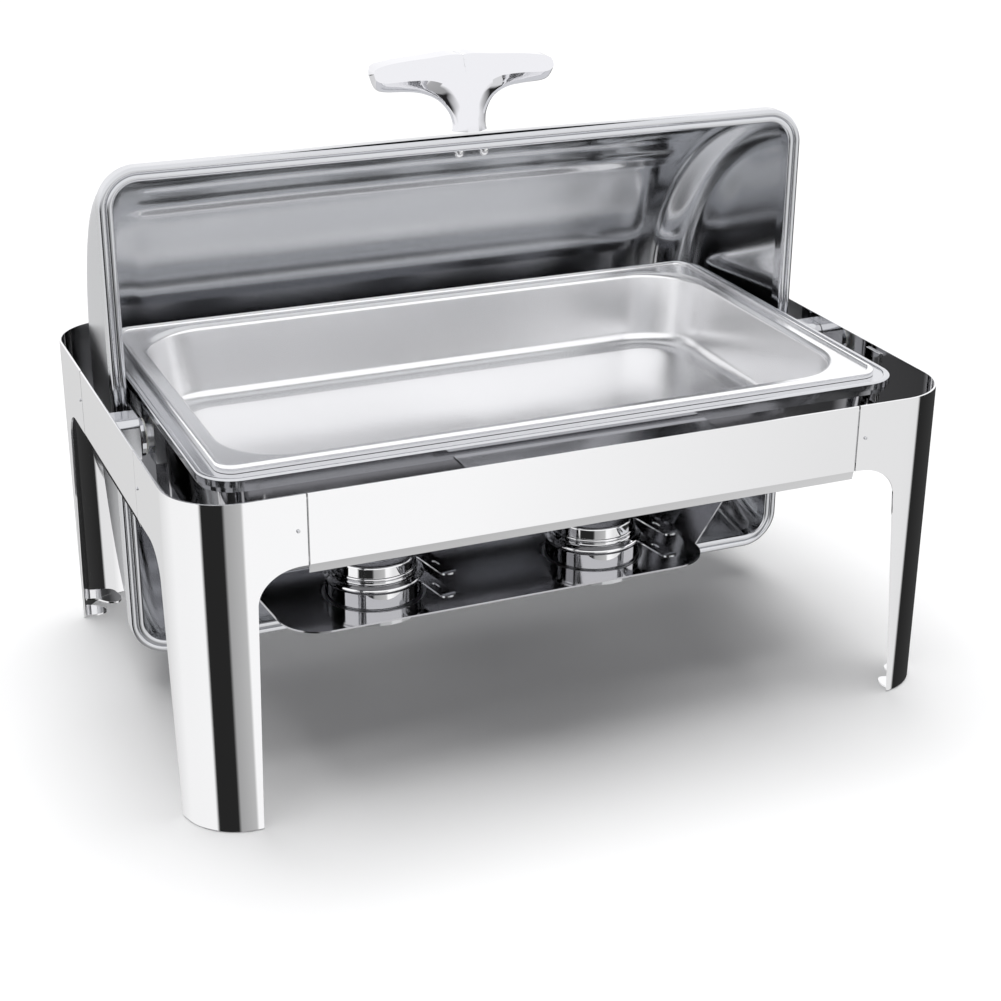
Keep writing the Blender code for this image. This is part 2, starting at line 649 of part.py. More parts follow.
# ---- lid --------------------------------------------------------------------------------------------------
def make_lid_shell():
    """A drawn half drum about the hinge axis, with flat drafted sides, open at the rim's plane."""
    columns, wall_steps, fillet_steps = 22, 3, 5
    start = SHELL_EDGE
    root = SHELL_RADIUS - SHELL_FILLET
    work = bmesh.new()

    def wall_x(depth):
        return SHELL_HALF_X - SHELL_DRAFT * (depth - start)

    def column(turn):
        """Points from the rim, up the right side and over to the middle, at one place round the axis."""
        points = []
        angle = turn * math.acos(start / root)
        depth, height = root * math.cos(angle), root * math.sin(angle)
        for step in range(wall_steps):
            here = start + (depth - start) * step / wall_steps
            points.append((wall_x(here), here, height))
        for step in range(fillet_steps + 1):
            swing = math.radians(90 * step / fillet_steps)
            radius = root + SHELL_FILLET * math.sin(swing)
            angle = turn * math.acos(start / radius)
            depth, height = radius * math.cos(angle), radius * math.sin(angle)
            points.append((wall_x(depth) - SHELL_FILLET * (1 - math.cos(swing)), depth, height))
        half = points + [(0.0, points[-1][1], points[-1][2])]
        return half + [(-x, y, z) for x, y, z in half[-2::-1]]

    grid = []
    for step in range(columns + 1):
        turn = -1 + 2 * step / columns
        grid.append([work.verts.new((x, y, AXIS_Z + z)) for x, y, z in column(turn)])
    for first, second in zip(grid, grid[1:]):
        for here in range(len(first) - 1):
            work.faces.new((first[here], first[here + 1], second[here + 1], second[here]))
    bmesh.ops.remove_doubles(work, verts=work.verts, dist=0.00001)
    shell = thicken(finish("lid_shell", work, SATIN_STEEL), SHELL_SHEET, 1.0)
    for side in (-1, 1):
        cut(shell, rim_hole(f"shell_hole_{side}", (side * NUT_SPREAD, RIM_MIDDLE, AXIS_Z + RIM_OUTER_Z - 0.02),
                            (side * NUT_SPREAD, RIM_MIDDLE, AXIS_Z + RIM_OUTER_Z), STUD_RADIUS + TOUCH))
    return shell


def rim_hole(name, start, end, radius):
    return cylinder(name, radius, start, end, sides=12)


def make_lid_rim():
    """The channel folded over the lid's edge, with a groove between two ridges on its open face."""
    half_x, half_z = (RIM_OUTER_X + RIM_INNER_X) / 2, (RIM_OUTER_Z + RIM_INNER_Z) / 2
    half = RIM_WIDTH / 2
    front, back = RIM_TO_AXIS, RIM_BACK
    section = [
        (half, back),
        (half, front + 0.0015),
        (half - 0.001, front),
        (0.0013, front),
        (0.0005, front + RIM_GROOVE),
        (-0.0005, front + RIM_GROOVE),
        (-0.0013, front),
        (0.001 - half, front),
        (-half, front + 0.0015),
        (-half, back),
        (RIM_SHEET - half, back),
        (RIM_SHEET - half, front + RIM_GROOVE + RIM_SHEET),
        (half - RIM_SHEET, front + RIM_GROOVE + RIM_SHEET),
        (half - RIM_SHEET, back),
    ]
    work = bmesh.new()
    rings = []
    for out, depth in section:
        path = rounded_rectangle(half_x + out, half_z + out, RIM_CORNER - half + out, 6)
        rings.append([(a, depth, AXIS_Z + b) for a, b in path])
    loft(work, rings, cyclic=True)
    bmesh.ops.recalc_face_normals(work, faces=work.faces)
    rim = finish("lid_rim", work, MIRROR_STEEL)
    for side in (-1, 1):
        low = (side * NUT_SPREAD, RIM_MIDDLE, AXIS_Z + RIM_INNER_Z - 0.01)
        high = (side * NUT_SPREAD, RIM_MIDDLE, AXIS_Z + RIM_OUTER_Z + 0.01)
        cut(rim, rim_hole(f"stud_hole_{side}", low, high, STUD_RADIUS + TOUCH))
        for level in (-1, 1):
            height = AXIS_Z + level * ARM_RIVET_SPREAD
            start = (side * (RIM_INNER_X - 0.01), RIM_MIDDLE, height)
            end = (side * (RIM_INNER_X + 0.005), RIM_MIDDLE, height)
            cut(rim, rim_hole(f"arm_rivet_hole_{side}_{level}", start, end, RIVET_RADIUS + TOUCH))
    return rim


def handle_outline():
    """The handle seen from the front, as (across, rise above the rim): a stem that flares into a bar."""
    stem, tip, rise, bar = HANDLE_STEM_HALF, HANDLE_HALF_LENGTH, HANDLE_RISE, HANDLE_BAR
    under = rise - bar - 0.004
    flare = arc((stem + 0.028, under - 0.026), 0.029, 0.026, 180, 92, 7)
    end = arc((tip - bar / 2, under + bar / 2 - 0.001), bar / 2, bar / 2, -80, 80, 5)
    right = [(stem, TOUCH), (stem - 0.001, 0.008)] + flare + end
    right += [(0.045, rise - 0.0016), (0.022, rise - 0.0004)]
    return right + [(0.0, rise)] + [(-a, b) for a, b in right[::-1]]


def make_handle():
    """A cast handle on the top of the rim, which leans back as it rises and thickens towards its bar."""
    seat = AXIS_Z + RIM_OUTER_Z
    half = HANDLE_THICKNESS / 2
    outline = [(a, seat + b) for a, b in handle_outline()]
    handle = prism("lid_handle", outline, "Y", -half, half)
    work = bmesh.new()
    work.from_mesh(handle.data)
    for level in range(1, 8):
        height = seat + HANDLE_RISE * level / 8
        everything = list(work.verts) + list(work.edges) + list(work.faces)
        bmesh.ops.bisect_plane(work, geom=everything, plane_co=(0, 0, height), plane_no=(0, 0, 1))
    for vert in work.verts:
        share = max(0.0, (vert.co.z - seat) / HANDLE_RISE)
        swell = 1 + (HANDLE_BAR_THICKNESS / HANDLE_THICKNESS - 1) * share
        vert.co.y = vert.co.y * swell + RIM_MIDDLE + HANDLE_LEAN * share**1.6
    bmesh.ops.recalc_face_normals(work, faces=work.faces)
    work.to_mesh(handle.data)
    work.free()
    for side in (-1, 1):
        cut(handle, rim_hole(f"handle_stud_hole_{side}", (side * NUT_SPREAD, RIM_MIDDLE, seat - 0.003),
                             (side * NUT_SPREAD, RIM_MIDDLE, seat + 0.009), STUD_RADIUS + TOUCH))
    return handle


def make_cap_nut(hand, side):
    """A domed nut under the rim on the stud that holds the handle."""
    seat = RIM_INNER_Z - TOUCH
    end = RIM_OUTER_Z + 0.008
    profile = [(0.0, end), (STUD_RADIUS, end), (STUD_RADIUS, seat), (NUT_RADIUS, seat)]
    profile += [(NUT_RADIUS, seat - 0.004)]
    profile += [(a, b) for a, b in arc((0.0, seat - 0.004), NUT_RADIUS, 0.005, 0, -90, 5)[1:]]
    profile[-1] = (0.0, seat - 0.009)
    work = bmesh.new()
    points = [work.verts.new((radius, 0, height)) for radius, height in profile]
    for first, second in zip(points, points[1:]):
        work.edges.new((first, second))
    nut = finish(f"handle_cap_nut_{hand}", work, MIRROR_STEEL)
    nut.location = (side * NUT_SPREAD, RIM_MIDDLE, AXIS_Z)
    screw = nut.modifiers.new("turn", "SCREW")
    screw.steps = 16
    screw.render_steps = 16
    screw.use_merge_vertices = True
    screw.merge_threshold = 0.00001
    screw.use_smooth_shade = True
    return nut


def make_lid_arm(hand, side):
    """The plate that carries the lid's rim on its hinge shaft."""
    half = ARM_HALF_WIDTH
    outline = arc((0.0, AXIS_Z), half, half, 90, 270, 10)
    outline += [(RIM_BACK - 0.001, AXIS_Z - half), (RIM_BACK - 0.001, AXIS_Z + half)]
    reach = sorted((side * ARM_IN, side * ARM_OUT))
    arm = prism(f"lid_arm_{hand}", outline, "X", *reach)
    cut(arm, cylinder(f"arm_bore_{side}", BUSH_RADIUS + TOUCH, (side * (ARM_IN - 0.01), 0, AXIS_Z),
                      (side * (ARM_OUT + 0.01), 0, AXIS_Z)))
    for level in (-1, 1):
        height = AXIS_Z + level * ARM_RIVET_SPREAD
        cut(arm, rim_hole(f"arm_hole_{side}_{level}", (side * (ARM_IN - 0.01), RIM_MIDDLE, height),
                          (side * (ARM_OUT + 0.01), RIM_MIDDLE, height), RIVET_RADIUS + TOUCH))
    return arm


def make_bush(hand, side):
    flange = ARM_IN - TOUCH
    bush = cylinder(f"hinge_bush_{hand}", BUSH_RADIUS, (side * (flange - 0.0003), 0, AXIS_Z),
                    (side * ARM_OUT, 0, AXIS_Z), NYLON)
    join(bush, cylinder(f"bush_flange_{side}", BUSH_RADIUS + 0.0015, (side * (flange - 0.0012), 0, AXIS_Z),
                        (side * flange, 0, AXIS_Z)))
    cut(bush, cylinder(f"bush_bore_{side}", SHAFT_RADIUS + RUNNING, (side * (ARM_IN - 0.01), 0, AXIS_Z),
                       (side * (ARM_OUT + 0.01), 0, AXIS_Z), sides=32))
    return bush


def make_arm_rivet(hand, side, label, level):
    height = AXIS_Z + level * ARM_RIVET_SPREAD
    head = ARM_IN - TOUCH
    rivet = cylinder(f"arm_rivet_{hand}_{label}", 2 * RIVET_RADIUS, (side * (head - 0.0009), RIM_MIDDLE, height),
                     (side * head, RIM_MIDDLE, height), sides=16)
    shank = cylinder(f"arm_rivet_shank_{side}_{level}", RIVET_RADIUS, (side * (head - 0.0004), RIM_MIDDLE, height),
                     (side * (RIM_INNER_X + 0.003), RIM_MIDDLE, height), sides=12)
    return join(rivet, shank)


def make_lid():
    axis = new_axis("lid_axis", (0, 0, AXIS_Z))
    pieces = [make_lid_shell(), make_lid_rim(), make_handle()]
    for hand, side in (("left", -1), ("right", 1)):
        pieces += [make_cap_nut(hand, side), make_lid_arm(hand, side), make_bush(hand, side)]
        pieces += [make_arm_rivet(hand, side, "lower", -1), make_arm_rivet(hand, side, "upper", 1)]
    for piece in pieces:
        if piece.name.startswith("handle_cap_nut"):
            piece.location = Vector(piece.location) - Vector(axis.location)
            piece.parent = axis
        else:
            hang_on(piece, axis)


# ---- burners ----------------------------------------------------------------------------------------------
def make_seat(hand, centre):
    """The pressed dish under a tray hole that a fuel cup stands in."""
    inside = BURNER_RADIUS + CUP_TO_SEAT
    wall = BURNER_SHEET
    top = TRAY_HEIGHT - SHEET - TOUCH
    floor = TRAY_HEIGHT - SHEET - SEAT_DEPTH
    profile = [
        (0.010, floor),
        (0.010, floor + wall),
        (inside, floor + wall),
        (inside, top),
        (inside + wall + SEAT_FLANGE, top),
        (inside + wall + SEAT_FLANGE, top - wall),
        (inside + wall, top - wall),
        (inside + wall, floor),
    ]
    return turned(f"burner_seat_{hand}", profile, (*centre, 0), SATIN_STEEL)


def make_cup(hand, centre):
    outer, wall, bead = BURNER_RADIUS, BURNER_SHEET, CUP_BEAD
    profile = [
        (0.0, CUP_BOTTOM),
        (outer - 0.002, CUP_BOTTOM),
        (outer, CUP_BOTTOM + 0.002),
        (outer, CUP_TOP - 0.006),
        (outer + bead, CUP_TOP - 0.0045),
        (outer + bead, CUP_TOP - 0.0025),
        (outer - 0.0005, CUP_TOP),
        (outer - 0.005, CUP_TOP),
        (outer - 0.005, CUP_TOP - wall),
        (outer - wall, CUP_TOP - 0.006),
        (outer - wall, CUP_BOTTOM + 0.002 + wall),
        (outer - 0.002 - wall, CUP_BOTTOM + wall),
        (0.0, CUP_BOTTOM + wall),
    ]
    work = bmesh.new()
    points = [work.verts.new((radius, 0, height)) for radius, height in profile[::-1]]
    for first, second in zip(points, points[1:]):
        work.edges.new((first, second))
    cup = finish(f"burner_cup_{hand}", work, MIRROR_STEEL)
    cup.location = (*centre, 0)
    screw = cup.modifiers.new("turn", "SCREW")
    screw.steps = 28
    screw.render_steps = 28
    screw.use_merge_vertices = True
    screw.merge_threshold = 0.00001
    screw.use_smooth_shade = True
    return cup


def make_cover(hand, centre):
    """The ring that drops on a fuel cup and narrows its mouth."""
    outer, wall = BURNER_RADIUS - COVER_INSET, BURNER_SHEET
    top = COVER_BOTTOM + COVER_HEIGHT
    profile = [
        (outer, COVER_BOTTOM),
        (outer - wall, COVER_BOTTOM),
        (outer - wall, top - wall),
        (COVER_MOUTH, top - wall),
        (COVER_MOUTH, top),
        (outer - 0.0015, top),
        (outer, top - 0.0015),
    ]
    return turned(f"burner_cover_{hand}", profile, (*centre, 0), MIRROR_STEEL)


def make_strip(name, root, height, cope):
    """A flat handle that runs forward beside the cup, with a round tip turned up a little."""
    thick, half, reach = STRIP_THICKNESS, STRIP_WIDTH / 2, STRIP_REACH
    section = [
        (root, height),
        (reach - 0.006, height),
        (reach, height + 0.0012),
        (reach, height + 0.0012 + thick),
        (reach - 0.006, height + thick),
        (root, height + thick),
    ]
    strip = prism(name, section, "Y", STRIP_OFFSET - half, STRIP_OFFSET + half, MIRROR_STEEL, smooth=False)
    plan = [(root - 0.01, STRIP_OFFSET - half - 0.001)]
    plan += arc((reach - half, STRIP_OFFSET), half, half - TOUCH, -90, 90, 8)
    plan += [(root - 0.01, STRIP_OFFSET + half + 0.001)]
    keep = as_cutter(prism(name + "_plan", plan, "Z", height - 0.01, height + 0.01))
    pieces = [strip, keep]
    boolean(strip, keep, "INTERSECT")
    if cope:
        pieces.append(cylinder(name + "_cope", cope, (0, 0, height - 0.01), (0, 0, height + 0.01), sides=28))
        cut(strip, pieces[-1])
    for piece in pieces:
        piece.data.transform(Matrix.Rotation(STRIP_ANGLE, 4, "Z"))
    return pieces


def make_burner(hand, side):
    centre = (side * BURNER_SPACING / 2, 0.0)
    make_seat(hand, centre)
    lift = new_axis(f"burner_axis_{hand}", (*centre, 0))
    cup = make_cup(hand, centre)
    cover = make_cover(hand, centre)
    beside_cup = BURNER_RADIUS + CUP_BEAD + TOUCH
    low = make_strip(f"cup_handle_{hand}", 0.012, CUP_TOP - 0.0043, beside_cup)
    high = make_strip(f"cover_handle_{hand}", -0.012, COVER_BOTTOM + COVER_HEIGHT + TOUCH, None)
    for piece in [cup, cover] + low + high:
        piece.location = (0, 0, 0)
        piece.parent = lift


make_stand()
make_ledge()
for hand_name, hand_side in (("left", -1), ("right", 1)):
    make_hinge_block(hand_name, hand_side)
    make_lock_screw(hand_name, hand_side)
    make_shaft(hand_name, hand_side)
make_cradle()
make_tray()
make_water_pan()
make_food_pan()
make_lid()
for hand_name, hand_side in (("left", -1), ("right", 1)):
    make_burner(hand_name, hand_side)
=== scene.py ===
# %% [markdown]
# # A roll top chafer in stainless steel
# A chafer keeps a buffet dish warm. A stand of bent sheet carries a water pan, the food pan hangs in it, and
# two fuel burners stand on a tray below. The lid is half a drum that rolls back round a cross axis.
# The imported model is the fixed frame: it gives the bodies that move and the box of every piece.

# %% Load the frame
import math

import json

import bmesh
import bpy
from mathutils import Matrix, Vector


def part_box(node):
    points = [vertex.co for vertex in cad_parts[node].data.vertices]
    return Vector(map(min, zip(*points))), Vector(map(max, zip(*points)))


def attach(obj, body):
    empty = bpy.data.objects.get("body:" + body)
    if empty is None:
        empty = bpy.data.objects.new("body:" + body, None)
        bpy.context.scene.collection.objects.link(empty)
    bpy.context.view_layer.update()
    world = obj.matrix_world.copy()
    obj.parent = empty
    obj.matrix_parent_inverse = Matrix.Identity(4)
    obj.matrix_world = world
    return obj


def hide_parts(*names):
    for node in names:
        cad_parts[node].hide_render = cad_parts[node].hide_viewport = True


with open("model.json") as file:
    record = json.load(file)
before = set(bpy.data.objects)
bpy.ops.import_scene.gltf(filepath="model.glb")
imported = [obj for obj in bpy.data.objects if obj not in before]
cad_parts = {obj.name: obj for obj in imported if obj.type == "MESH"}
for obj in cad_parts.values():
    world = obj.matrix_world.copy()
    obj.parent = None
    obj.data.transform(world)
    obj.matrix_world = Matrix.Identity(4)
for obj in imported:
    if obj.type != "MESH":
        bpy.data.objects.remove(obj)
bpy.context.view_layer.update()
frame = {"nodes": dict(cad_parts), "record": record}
lid_joint = [joint for joint in frame["record"]["behaviour"]["joints"] if joint["name"] == "lid_roll"][0]
AXIS_Z = lid_joint["pos_m"][2]

# %% [markdown]
# ## Colours and nodes
# A hex value is what a paint chart gives, so it is turned into linear light once, here. One helper adds any
# shader node with its settings and links, which keeps each finish short enough to read.


# %% Helpers for materials
def linear(code):
    """An sRGB hex code as linear RGBA."""
    parts = [int(code[i : i + 2], 16) / 255 for i in (1, 3, 5)]
    return (*[p / 12.92 if p <= 0.04045 else ((p + 0.055) / 1.055) ** 2.4 for p in parts], 1.0)


def add_node(tree, kind, settings=None, links=None):
    """Add a node. Settings are attributes or unlinked sockets, and links go from a socket to an input."""
    node = tree.nodes.new(kind)
    for key, value in (settings or {}).items():
        if isinstance(key, str) and hasattr(node, key):
            setattr(node, key, value)
        else:
            node.inputs[key].default_value = value
    for key, source in (links or {}).items():
        tree.links.new(source, node.inputs[key])
    return node


def new_finish(name, colour, roughness, metallic=1.0, **more):
    """A material with its whole-surface values on the shader's own sockets."""
    made = bpy.data.materials.new(name)
    made.use_nodes = True
    shader = made.node_tree.nodes["Principled BSDF"]
    shader.inputs["Base Color"].default_value = linear(colour)
    shader.inputs["Roughness"].default_value = roughness
    shader.inputs["Metallic"].default_value = metallic
    for key, value in more.items():
        shader.inputs[key.replace("_", " ").title()].default_value = value
    return made, made.node_tree, shader


# %% [markdown]
# ## Mirror polished stainless steel
# Sheet of grade 304, buffed on a wheel until it mirrors the room. The eye reads it from its reflections: a
# faint haze that changes in patches where the wheel dwelt, and a slow ripple of about 90 mm from the
# rolling mill that bends straight reflections. Other bright finishes differ in tint, haze and ripple, so
# one function makes them all.

# %% Mirror polished steel
HAZE_PATCHES = 14.0  # per metre, so a patch is about 70 mm across
MILL_RIPPLE = 0.09


def polished_steel(name, colour, haze_low, haze_high, ripple):
    made, tree, shader = new_finish(name, colour, haze_low)
    place = add_node(tree, "ShaderNodeTexCoord").outputs["Object"]
    patches = add_node(tree, "ShaderNodeTexNoise", {"Scale": HAZE_PATCHES, "Detail": 3.0}, {"Vector": place})
    haze = add_node(tree, "ShaderNodeMapRange", {"To Min": haze_low, "To Max": haze_high},
                    {"Value": patches.outputs["Fac"]})
    tree.links.new(haze.outputs["Result"], shader.inputs["Roughness"])
    wave = add_node(tree, "ShaderNodeTexNoise", {"Scale": 1 / MILL_RIPPLE, "Detail": 0.0}, {"Vector": place})
    bump = add_node(tree, "ShaderNodeBump", {"Strength": ripple, "Distance": 0.0006},
                    {"Height": wave.outputs["Fac"]})
    tree.links.new(bump.outputs["Normal"], shader.inputs["Normal"])
    return made


# Buffed sheet: crisp reflections, with black and white bands down the legs.
MIRROR = polished_steel("stainless_steel_mirror_polished", "#E9E9EA", 0.03, 0.07, 0.15)
# Rolled edges and milled blocks keep the mill's bright skin, so their highlights are soft and a little grey.
RIM_STEEL = polished_steel("stainless_steel_bright_rolled", "#CBCCCF", 0.10, 0.18, 0.2)
# Painted shade: bright sheet painted darker for where shade falls, on the tray, the ledge and the water
# pan's underside.
SHADE_PAINTED_MIRROR = polished_steel("stainless_steel_painted_shade", "#B2B2B5", 0.05, 0.11, 0.3)
# Chrome over a polished zinc casting: the smoothest surface, a shade cooler than steel.
HANDLE_CHROME = polished_steel("zinc_casting_chrome_plated", "#DCDCDF", 0.03, 0.06, 0.1)
# Strip blanked in a press and tumbled: bright, with a light grey haze.
STRIP_STEEL = polished_steel("stainless_steel_blanked_strip", "#C8C9CC", 0.06, 0.12, 0.2)
# The drum is polished last, by hand, so its haze is wider and its ripple deeper.
LID_OUTSIDE = polished_steel("stainless_steel_polished_drum", "#D9DADC", 0.09, 0.16, 0.4)
for finish in (MIRROR, RIM_STEEL, SHADE_PAINTED_MIRROR, HANDLE_CHROME, STRIP_STEEL, LID_OUTSIDE):
    print("polished finish", finish.name)

# %% [markdown]
# ## Satin brushed stainless steel
# Pans and the lid's inside are rubbed with a belt of about 240 grit. Its scratches are some 0.1 mm apart and
# 30 mm long, too fine to show at this size, so they are drawn 0.7 mm apart and 50 mm long. They stretch a
# highlight across themselves, which is what the anisotropy gives.

# %% Satin brushed steel
SCRATCH_GAP, SCRATCH_LENGTH = 0.0007, 0.05
CLOUDS = 9.0  # per metre, for the slow changes of haze where the belt pressed harder


def brushed_steel(name, colour, roughness, along):
    made, tree, shader = new_finish(name, colour, roughness, anisotropic=0.45)
    place = add_node(tree, "ShaderNodeTexCoord").outputs["Object"]
    stretch = [1 / SCRATCH_GAP] * 3
    stretch["XYZ".index(along)] = 1 / SCRATCH_LENGTH
    grain_place = add_node(tree, "ShaderNodeMapping", {"Scale": stretch}, {"Vector": place})
    grain = add_node(tree, "ShaderNodeTexNoise", {"Scale": 1.0, "Detail": 2.0, "Roughness": 0.6},
                     {"Vector": grain_place.outputs["Vector"]})
    cloud = add_node(tree, "ShaderNodeTexNoise", {"Scale": CLOUDS, "Detail": 2.0}, {"Vector": place})
    blend = add_node(tree, "ShaderNodeMath", {"operation": "MULTIPLY_ADD", 1: 0.35},
                     {0: grain.outputs["Fac"], 2: cloud.outputs["Fac"]})
    haze = add_node(tree, "ShaderNodeMapRange",
                    {"From Min": 0.3, "From Max": 1.1,
                     "To Min": roughness - 0.03, "To Max": roughness + 0.04},
                    {"Value": blend.outputs["Value"]})
    tree.links.new(haze.outputs["Result"], shader.inputs["Roughness"])
    bump = add_node(tree, "ShaderNodeBump", {"Strength": 0.06, "Distance": 0.00006},
                    {"Height": grain.outputs["Fac"]})
    tree.links.new(bump.outputs["Normal"], shader.inputs["Normal"])
    return made


# Belt rubbed along its length, which turns reflections into a soft grey glow.
SATIN = brushed_steel("stainless_steel_satin_brushed", "#D6D7D9", 0.30, "X")
# Painted light: the pans' copy of the brushed steel is painted paler so the food pan reads brighter, and is
# a little smoother.
PAN_SATIN_PAINTED_LIGHT = brushed_steel("stainless_steel_satin_painted_light", "#F3F3F4", 0.25, "X")
print("brushed finishes", SATIN.name, PAN_SATIN_PAINTED_LIGHT.name)

# %% [markdown]
# ## Acetal
# The bushes are moulded acetal, a slippery, slightly waxy white plastic that lets steel turn in steel dry.

# %% Acetal bush
ACETAL, acetal_tree, acetal_shader = new_finish("acetal_moulded", "#E8E6DE", 0.4, 0.0, subsurface_weight=0.1)
acetal_place = add_node(acetal_tree, "ShaderNodeTexCoord").outputs["Object"]
acetal_grain = add_node(acetal_tree, "ShaderNodeTexNoise", {"Scale": 900.0, "Detail": 2.0},
                        {"Vector": acetal_place})
acetal_bump = add_node(acetal_tree, "ShaderNodeBump", {"Strength": 0.15, "Distance": 0.0001},
                       {"Height": acetal_grain.outputs["Fac"]})
acetal_tree.links.new(acetal_bump.outputs["Normal"], acetal_shader.inputs["Normal"])
print("plastic", ACETAL.name)

# %% [markdown]
# ## Shapes used again and again
# Sheet metal is an outline pushed along an axis, a stack of rounded rectangles, or a profile turned on a
# lathe. Each helper makes one of those as a bmesh, and `piece` turns it into a finished object: soft edges
# that catch a line of light, normals that keep flat faces flat, and a body to ride on.


# %% Helpers for shapes
def arc(centre, radius_a, radius_b, start, end, steps):
    """Points along an ellipse's arc, in degrees."""
    points = []
    for step in range(steps + 1):
        angle = math.radians(start + (end - start) * step / steps)
        points.append((centre[0] + radius_a * math.cos(angle), centre[1] + radius_b * math.sin(angle)))
    return points


def rounded_rectangle(half_a, half_b, radius, steps=14, middle=(0.0, 0.0)):
    """The outline of a rounded rectangle, anticlockwise, with a number of steps round each corner."""
    points = []
    for corner, (side_a, side_b) in enumerate(((1, 1), (-1, 1), (-1, -1), (1, -1))):
        centre = (middle[0] + side_a * (half_a - radius), middle[1] + side_b * (half_b - radius))
        points += arc(centre, radius, radius, 90 * corner, 90 * corner + 90, steps)
    return points


def round_outline(radius, steps, middle=(0.0, 0.0)):
    """A circle, as a rounded rectangle with a hair of straight side left so that no two points meet."""
    hair = 0.00001
    return rounded_rectangle(radius, radius, radius - hair, steps, middle)


def spread(axis, a, b, c):
    """Turn a place on an outline (a, b) and a place c along the axis into x, y and z."""
    return {"X": (c, a, b), "Y": (a, c, b), "Z": (a, b, c)}[axis]


def prism(outline, axis, low, high, far=None):
    """An outline extruded from low to high. With far, the outline at the high end is that one."""
    work = bmesh.new()
    near = [work.verts.new(spread(axis, a, b, low)) for a, b in outline]
    away = [work.verts.new(spread(axis, a, b, high)) for a, b in (far or outline)]
    work.faces.new(near)
    work.faces.new(away[::-1])
    for here in range(len(near)):
        there = (here + 1) % len(near)
        work.faces.new((near[here], away[here], away[there], near[there]))
    bmesh.ops.recalc_face_normals(work, faces=work.faces)
    return work


def divided(points, longest):
    """A closed path with its long stretches cut into shorter ones."""
    made = []
    for here, there in zip(points, points[1:] + points[:1]):
        parts = max(1, round(math.dist(here, there) / longest))
        made += [tuple(a + (b - a) * step / parts for a, b in zip(here, there)) for step in range(parts)]
    return made


def loft(rings, closed_end=False, cyclic=False):
    """A skin over closed rings that have the same number of points."""
    work = bmesh.new()
    made = [[work.verts.new(point) for point in ring] for ring in rings]
    pairs = list(zip(made, made[1:])) + ([(made[-1], made[0])] if cyclic else [])
    for first, second in pairs:
        for here in range(len(first)):
            there = (here + 1) % len(first)
            work.faces.new((first[here], first[there], second[there], second[here]))
    if closed_end:
        work.faces.new(made[-1])
    return work


def lathe(profile, centre, steps=64, axis="Z"):
    """A closed profile of (radius, height) turned round an upright axis."""
    work = bmesh.new()
    ring = [work.verts.new((radius, 0, height)) for radius, height in profile]
    edges = [work.edges.new(pair) for pair in zip(ring, ring[1:] + ring[:1])]
    bmesh.ops.spin(work, geom=ring + edges, cent=(0, 0, 0), axis=(0, 0, 1), angle=math.tau, steps=steps,
                   use_merge=True)
    bmesh.ops.remove_doubles(work, verts=work.verts, dist=0.000005)
    lonely = [face for face in work.faces if face.calc_area() < 1e-12]
    bmesh.ops.delete(work, geom=lonely, context="FACES")
    bmesh.ops.recalc_face_normals(work, faces=work.faces)
    if axis == "X":
        bmesh.ops.rotate(work, cent=(0, 0, 0), matrix=Matrix.Rotation(math.pi / 2, 3, "Y"), verts=work.verts)
    bmesh.ops.translate(work, vec=centre, verts=work.verts)
    return work


def to_object(name, work):
    mesh = bpy.data.meshes.new(name)
    work.to_mesh(mesh)
    work.free()
    obj = bpy.data.objects.new(name, mesh)
    bpy.context.scene.collection.objects.link(obj)
    return obj


def settle(obj):
    """Write the modifiers into the mesh."""
    graph = bpy.context.evaluated_depsgraph_get()
    settled = bpy.data.meshes.new_from_object(obj.evaluated_get(graph))
    obj.modifiers.clear()
    obj.data = settled
    return obj


def carve(obj, tools, operation="DIFFERENCE"):
    """Cut (or join) each bmesh tool, then throw the tools away."""
    helpers = []
    for number, tool in enumerate(tools):
        helper = to_object(f"{obj.name}_tool_{number}", tool)
        modifier = obj.modifiers.new("carve", "BOOLEAN")
        modifier.operation = operation
        modifier.solver = "EXACT"
        modifier.object = helper
        helpers.append(helper)
    settle(obj)
    for helper in helpers:
        bpy.data.objects.remove(helper)
    return obj


def sheet_metal(obj, thickness, offset, second_slot=0):
    """Give a skin the thickness of its sheet. The far side takes the material that many slots further on."""
    modifier = obj.modifiers.new("sheet", "SOLIDIFY")
    modifier.thickness = thickness
    modifier.offset = offset
    modifier.use_even_offset = True
    modifier.material_offset = second_slot
    return settle(obj)


def piece(obj, body, finish, *nodes, edge=0.0003, segments=2, slot="mirror_polished_steel"):
    """Soften the edges of an object, give it a finish, and let it stand for its CAD nodes."""
    if not obj.data.materials:
        obj.data.materials.append(finish)
    if edge:
        bevel = obj.modifiers.new("edge", "BEVEL")
        bevel.width = edge
        bevel.segments = segments
        bevel.limit_method = "ANGLE"
        bevel.angle_limit = math.radians(35)
        bevel.miter_outer = "MITER_ARC"
        settle(obj)
    obj.data.shade_smooth()
    obj.data.set_sharp_from_angle(angle=math.radians(50))
    weighted = obj.modifiers.new("flat faces", "WEIGHTED_NORMAL")
    weighted.keep_sharp = True
    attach(obj, body)
    if nodes:
        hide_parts(*nodes)
    return obj


# %% [markdown]
# ## The stand's legs
# Each leg is one blank of 1.5 mm sheet, cut with an arch on both sides, bent round a 46 mm former, and
# turned in at the bottom as two small feet. A bent strip is an outline seen from above, so it is extruded
# upwards and the arches are cut out of it, just as the blank is cut. The left pair is a little wider at the
# floor than the right pair.

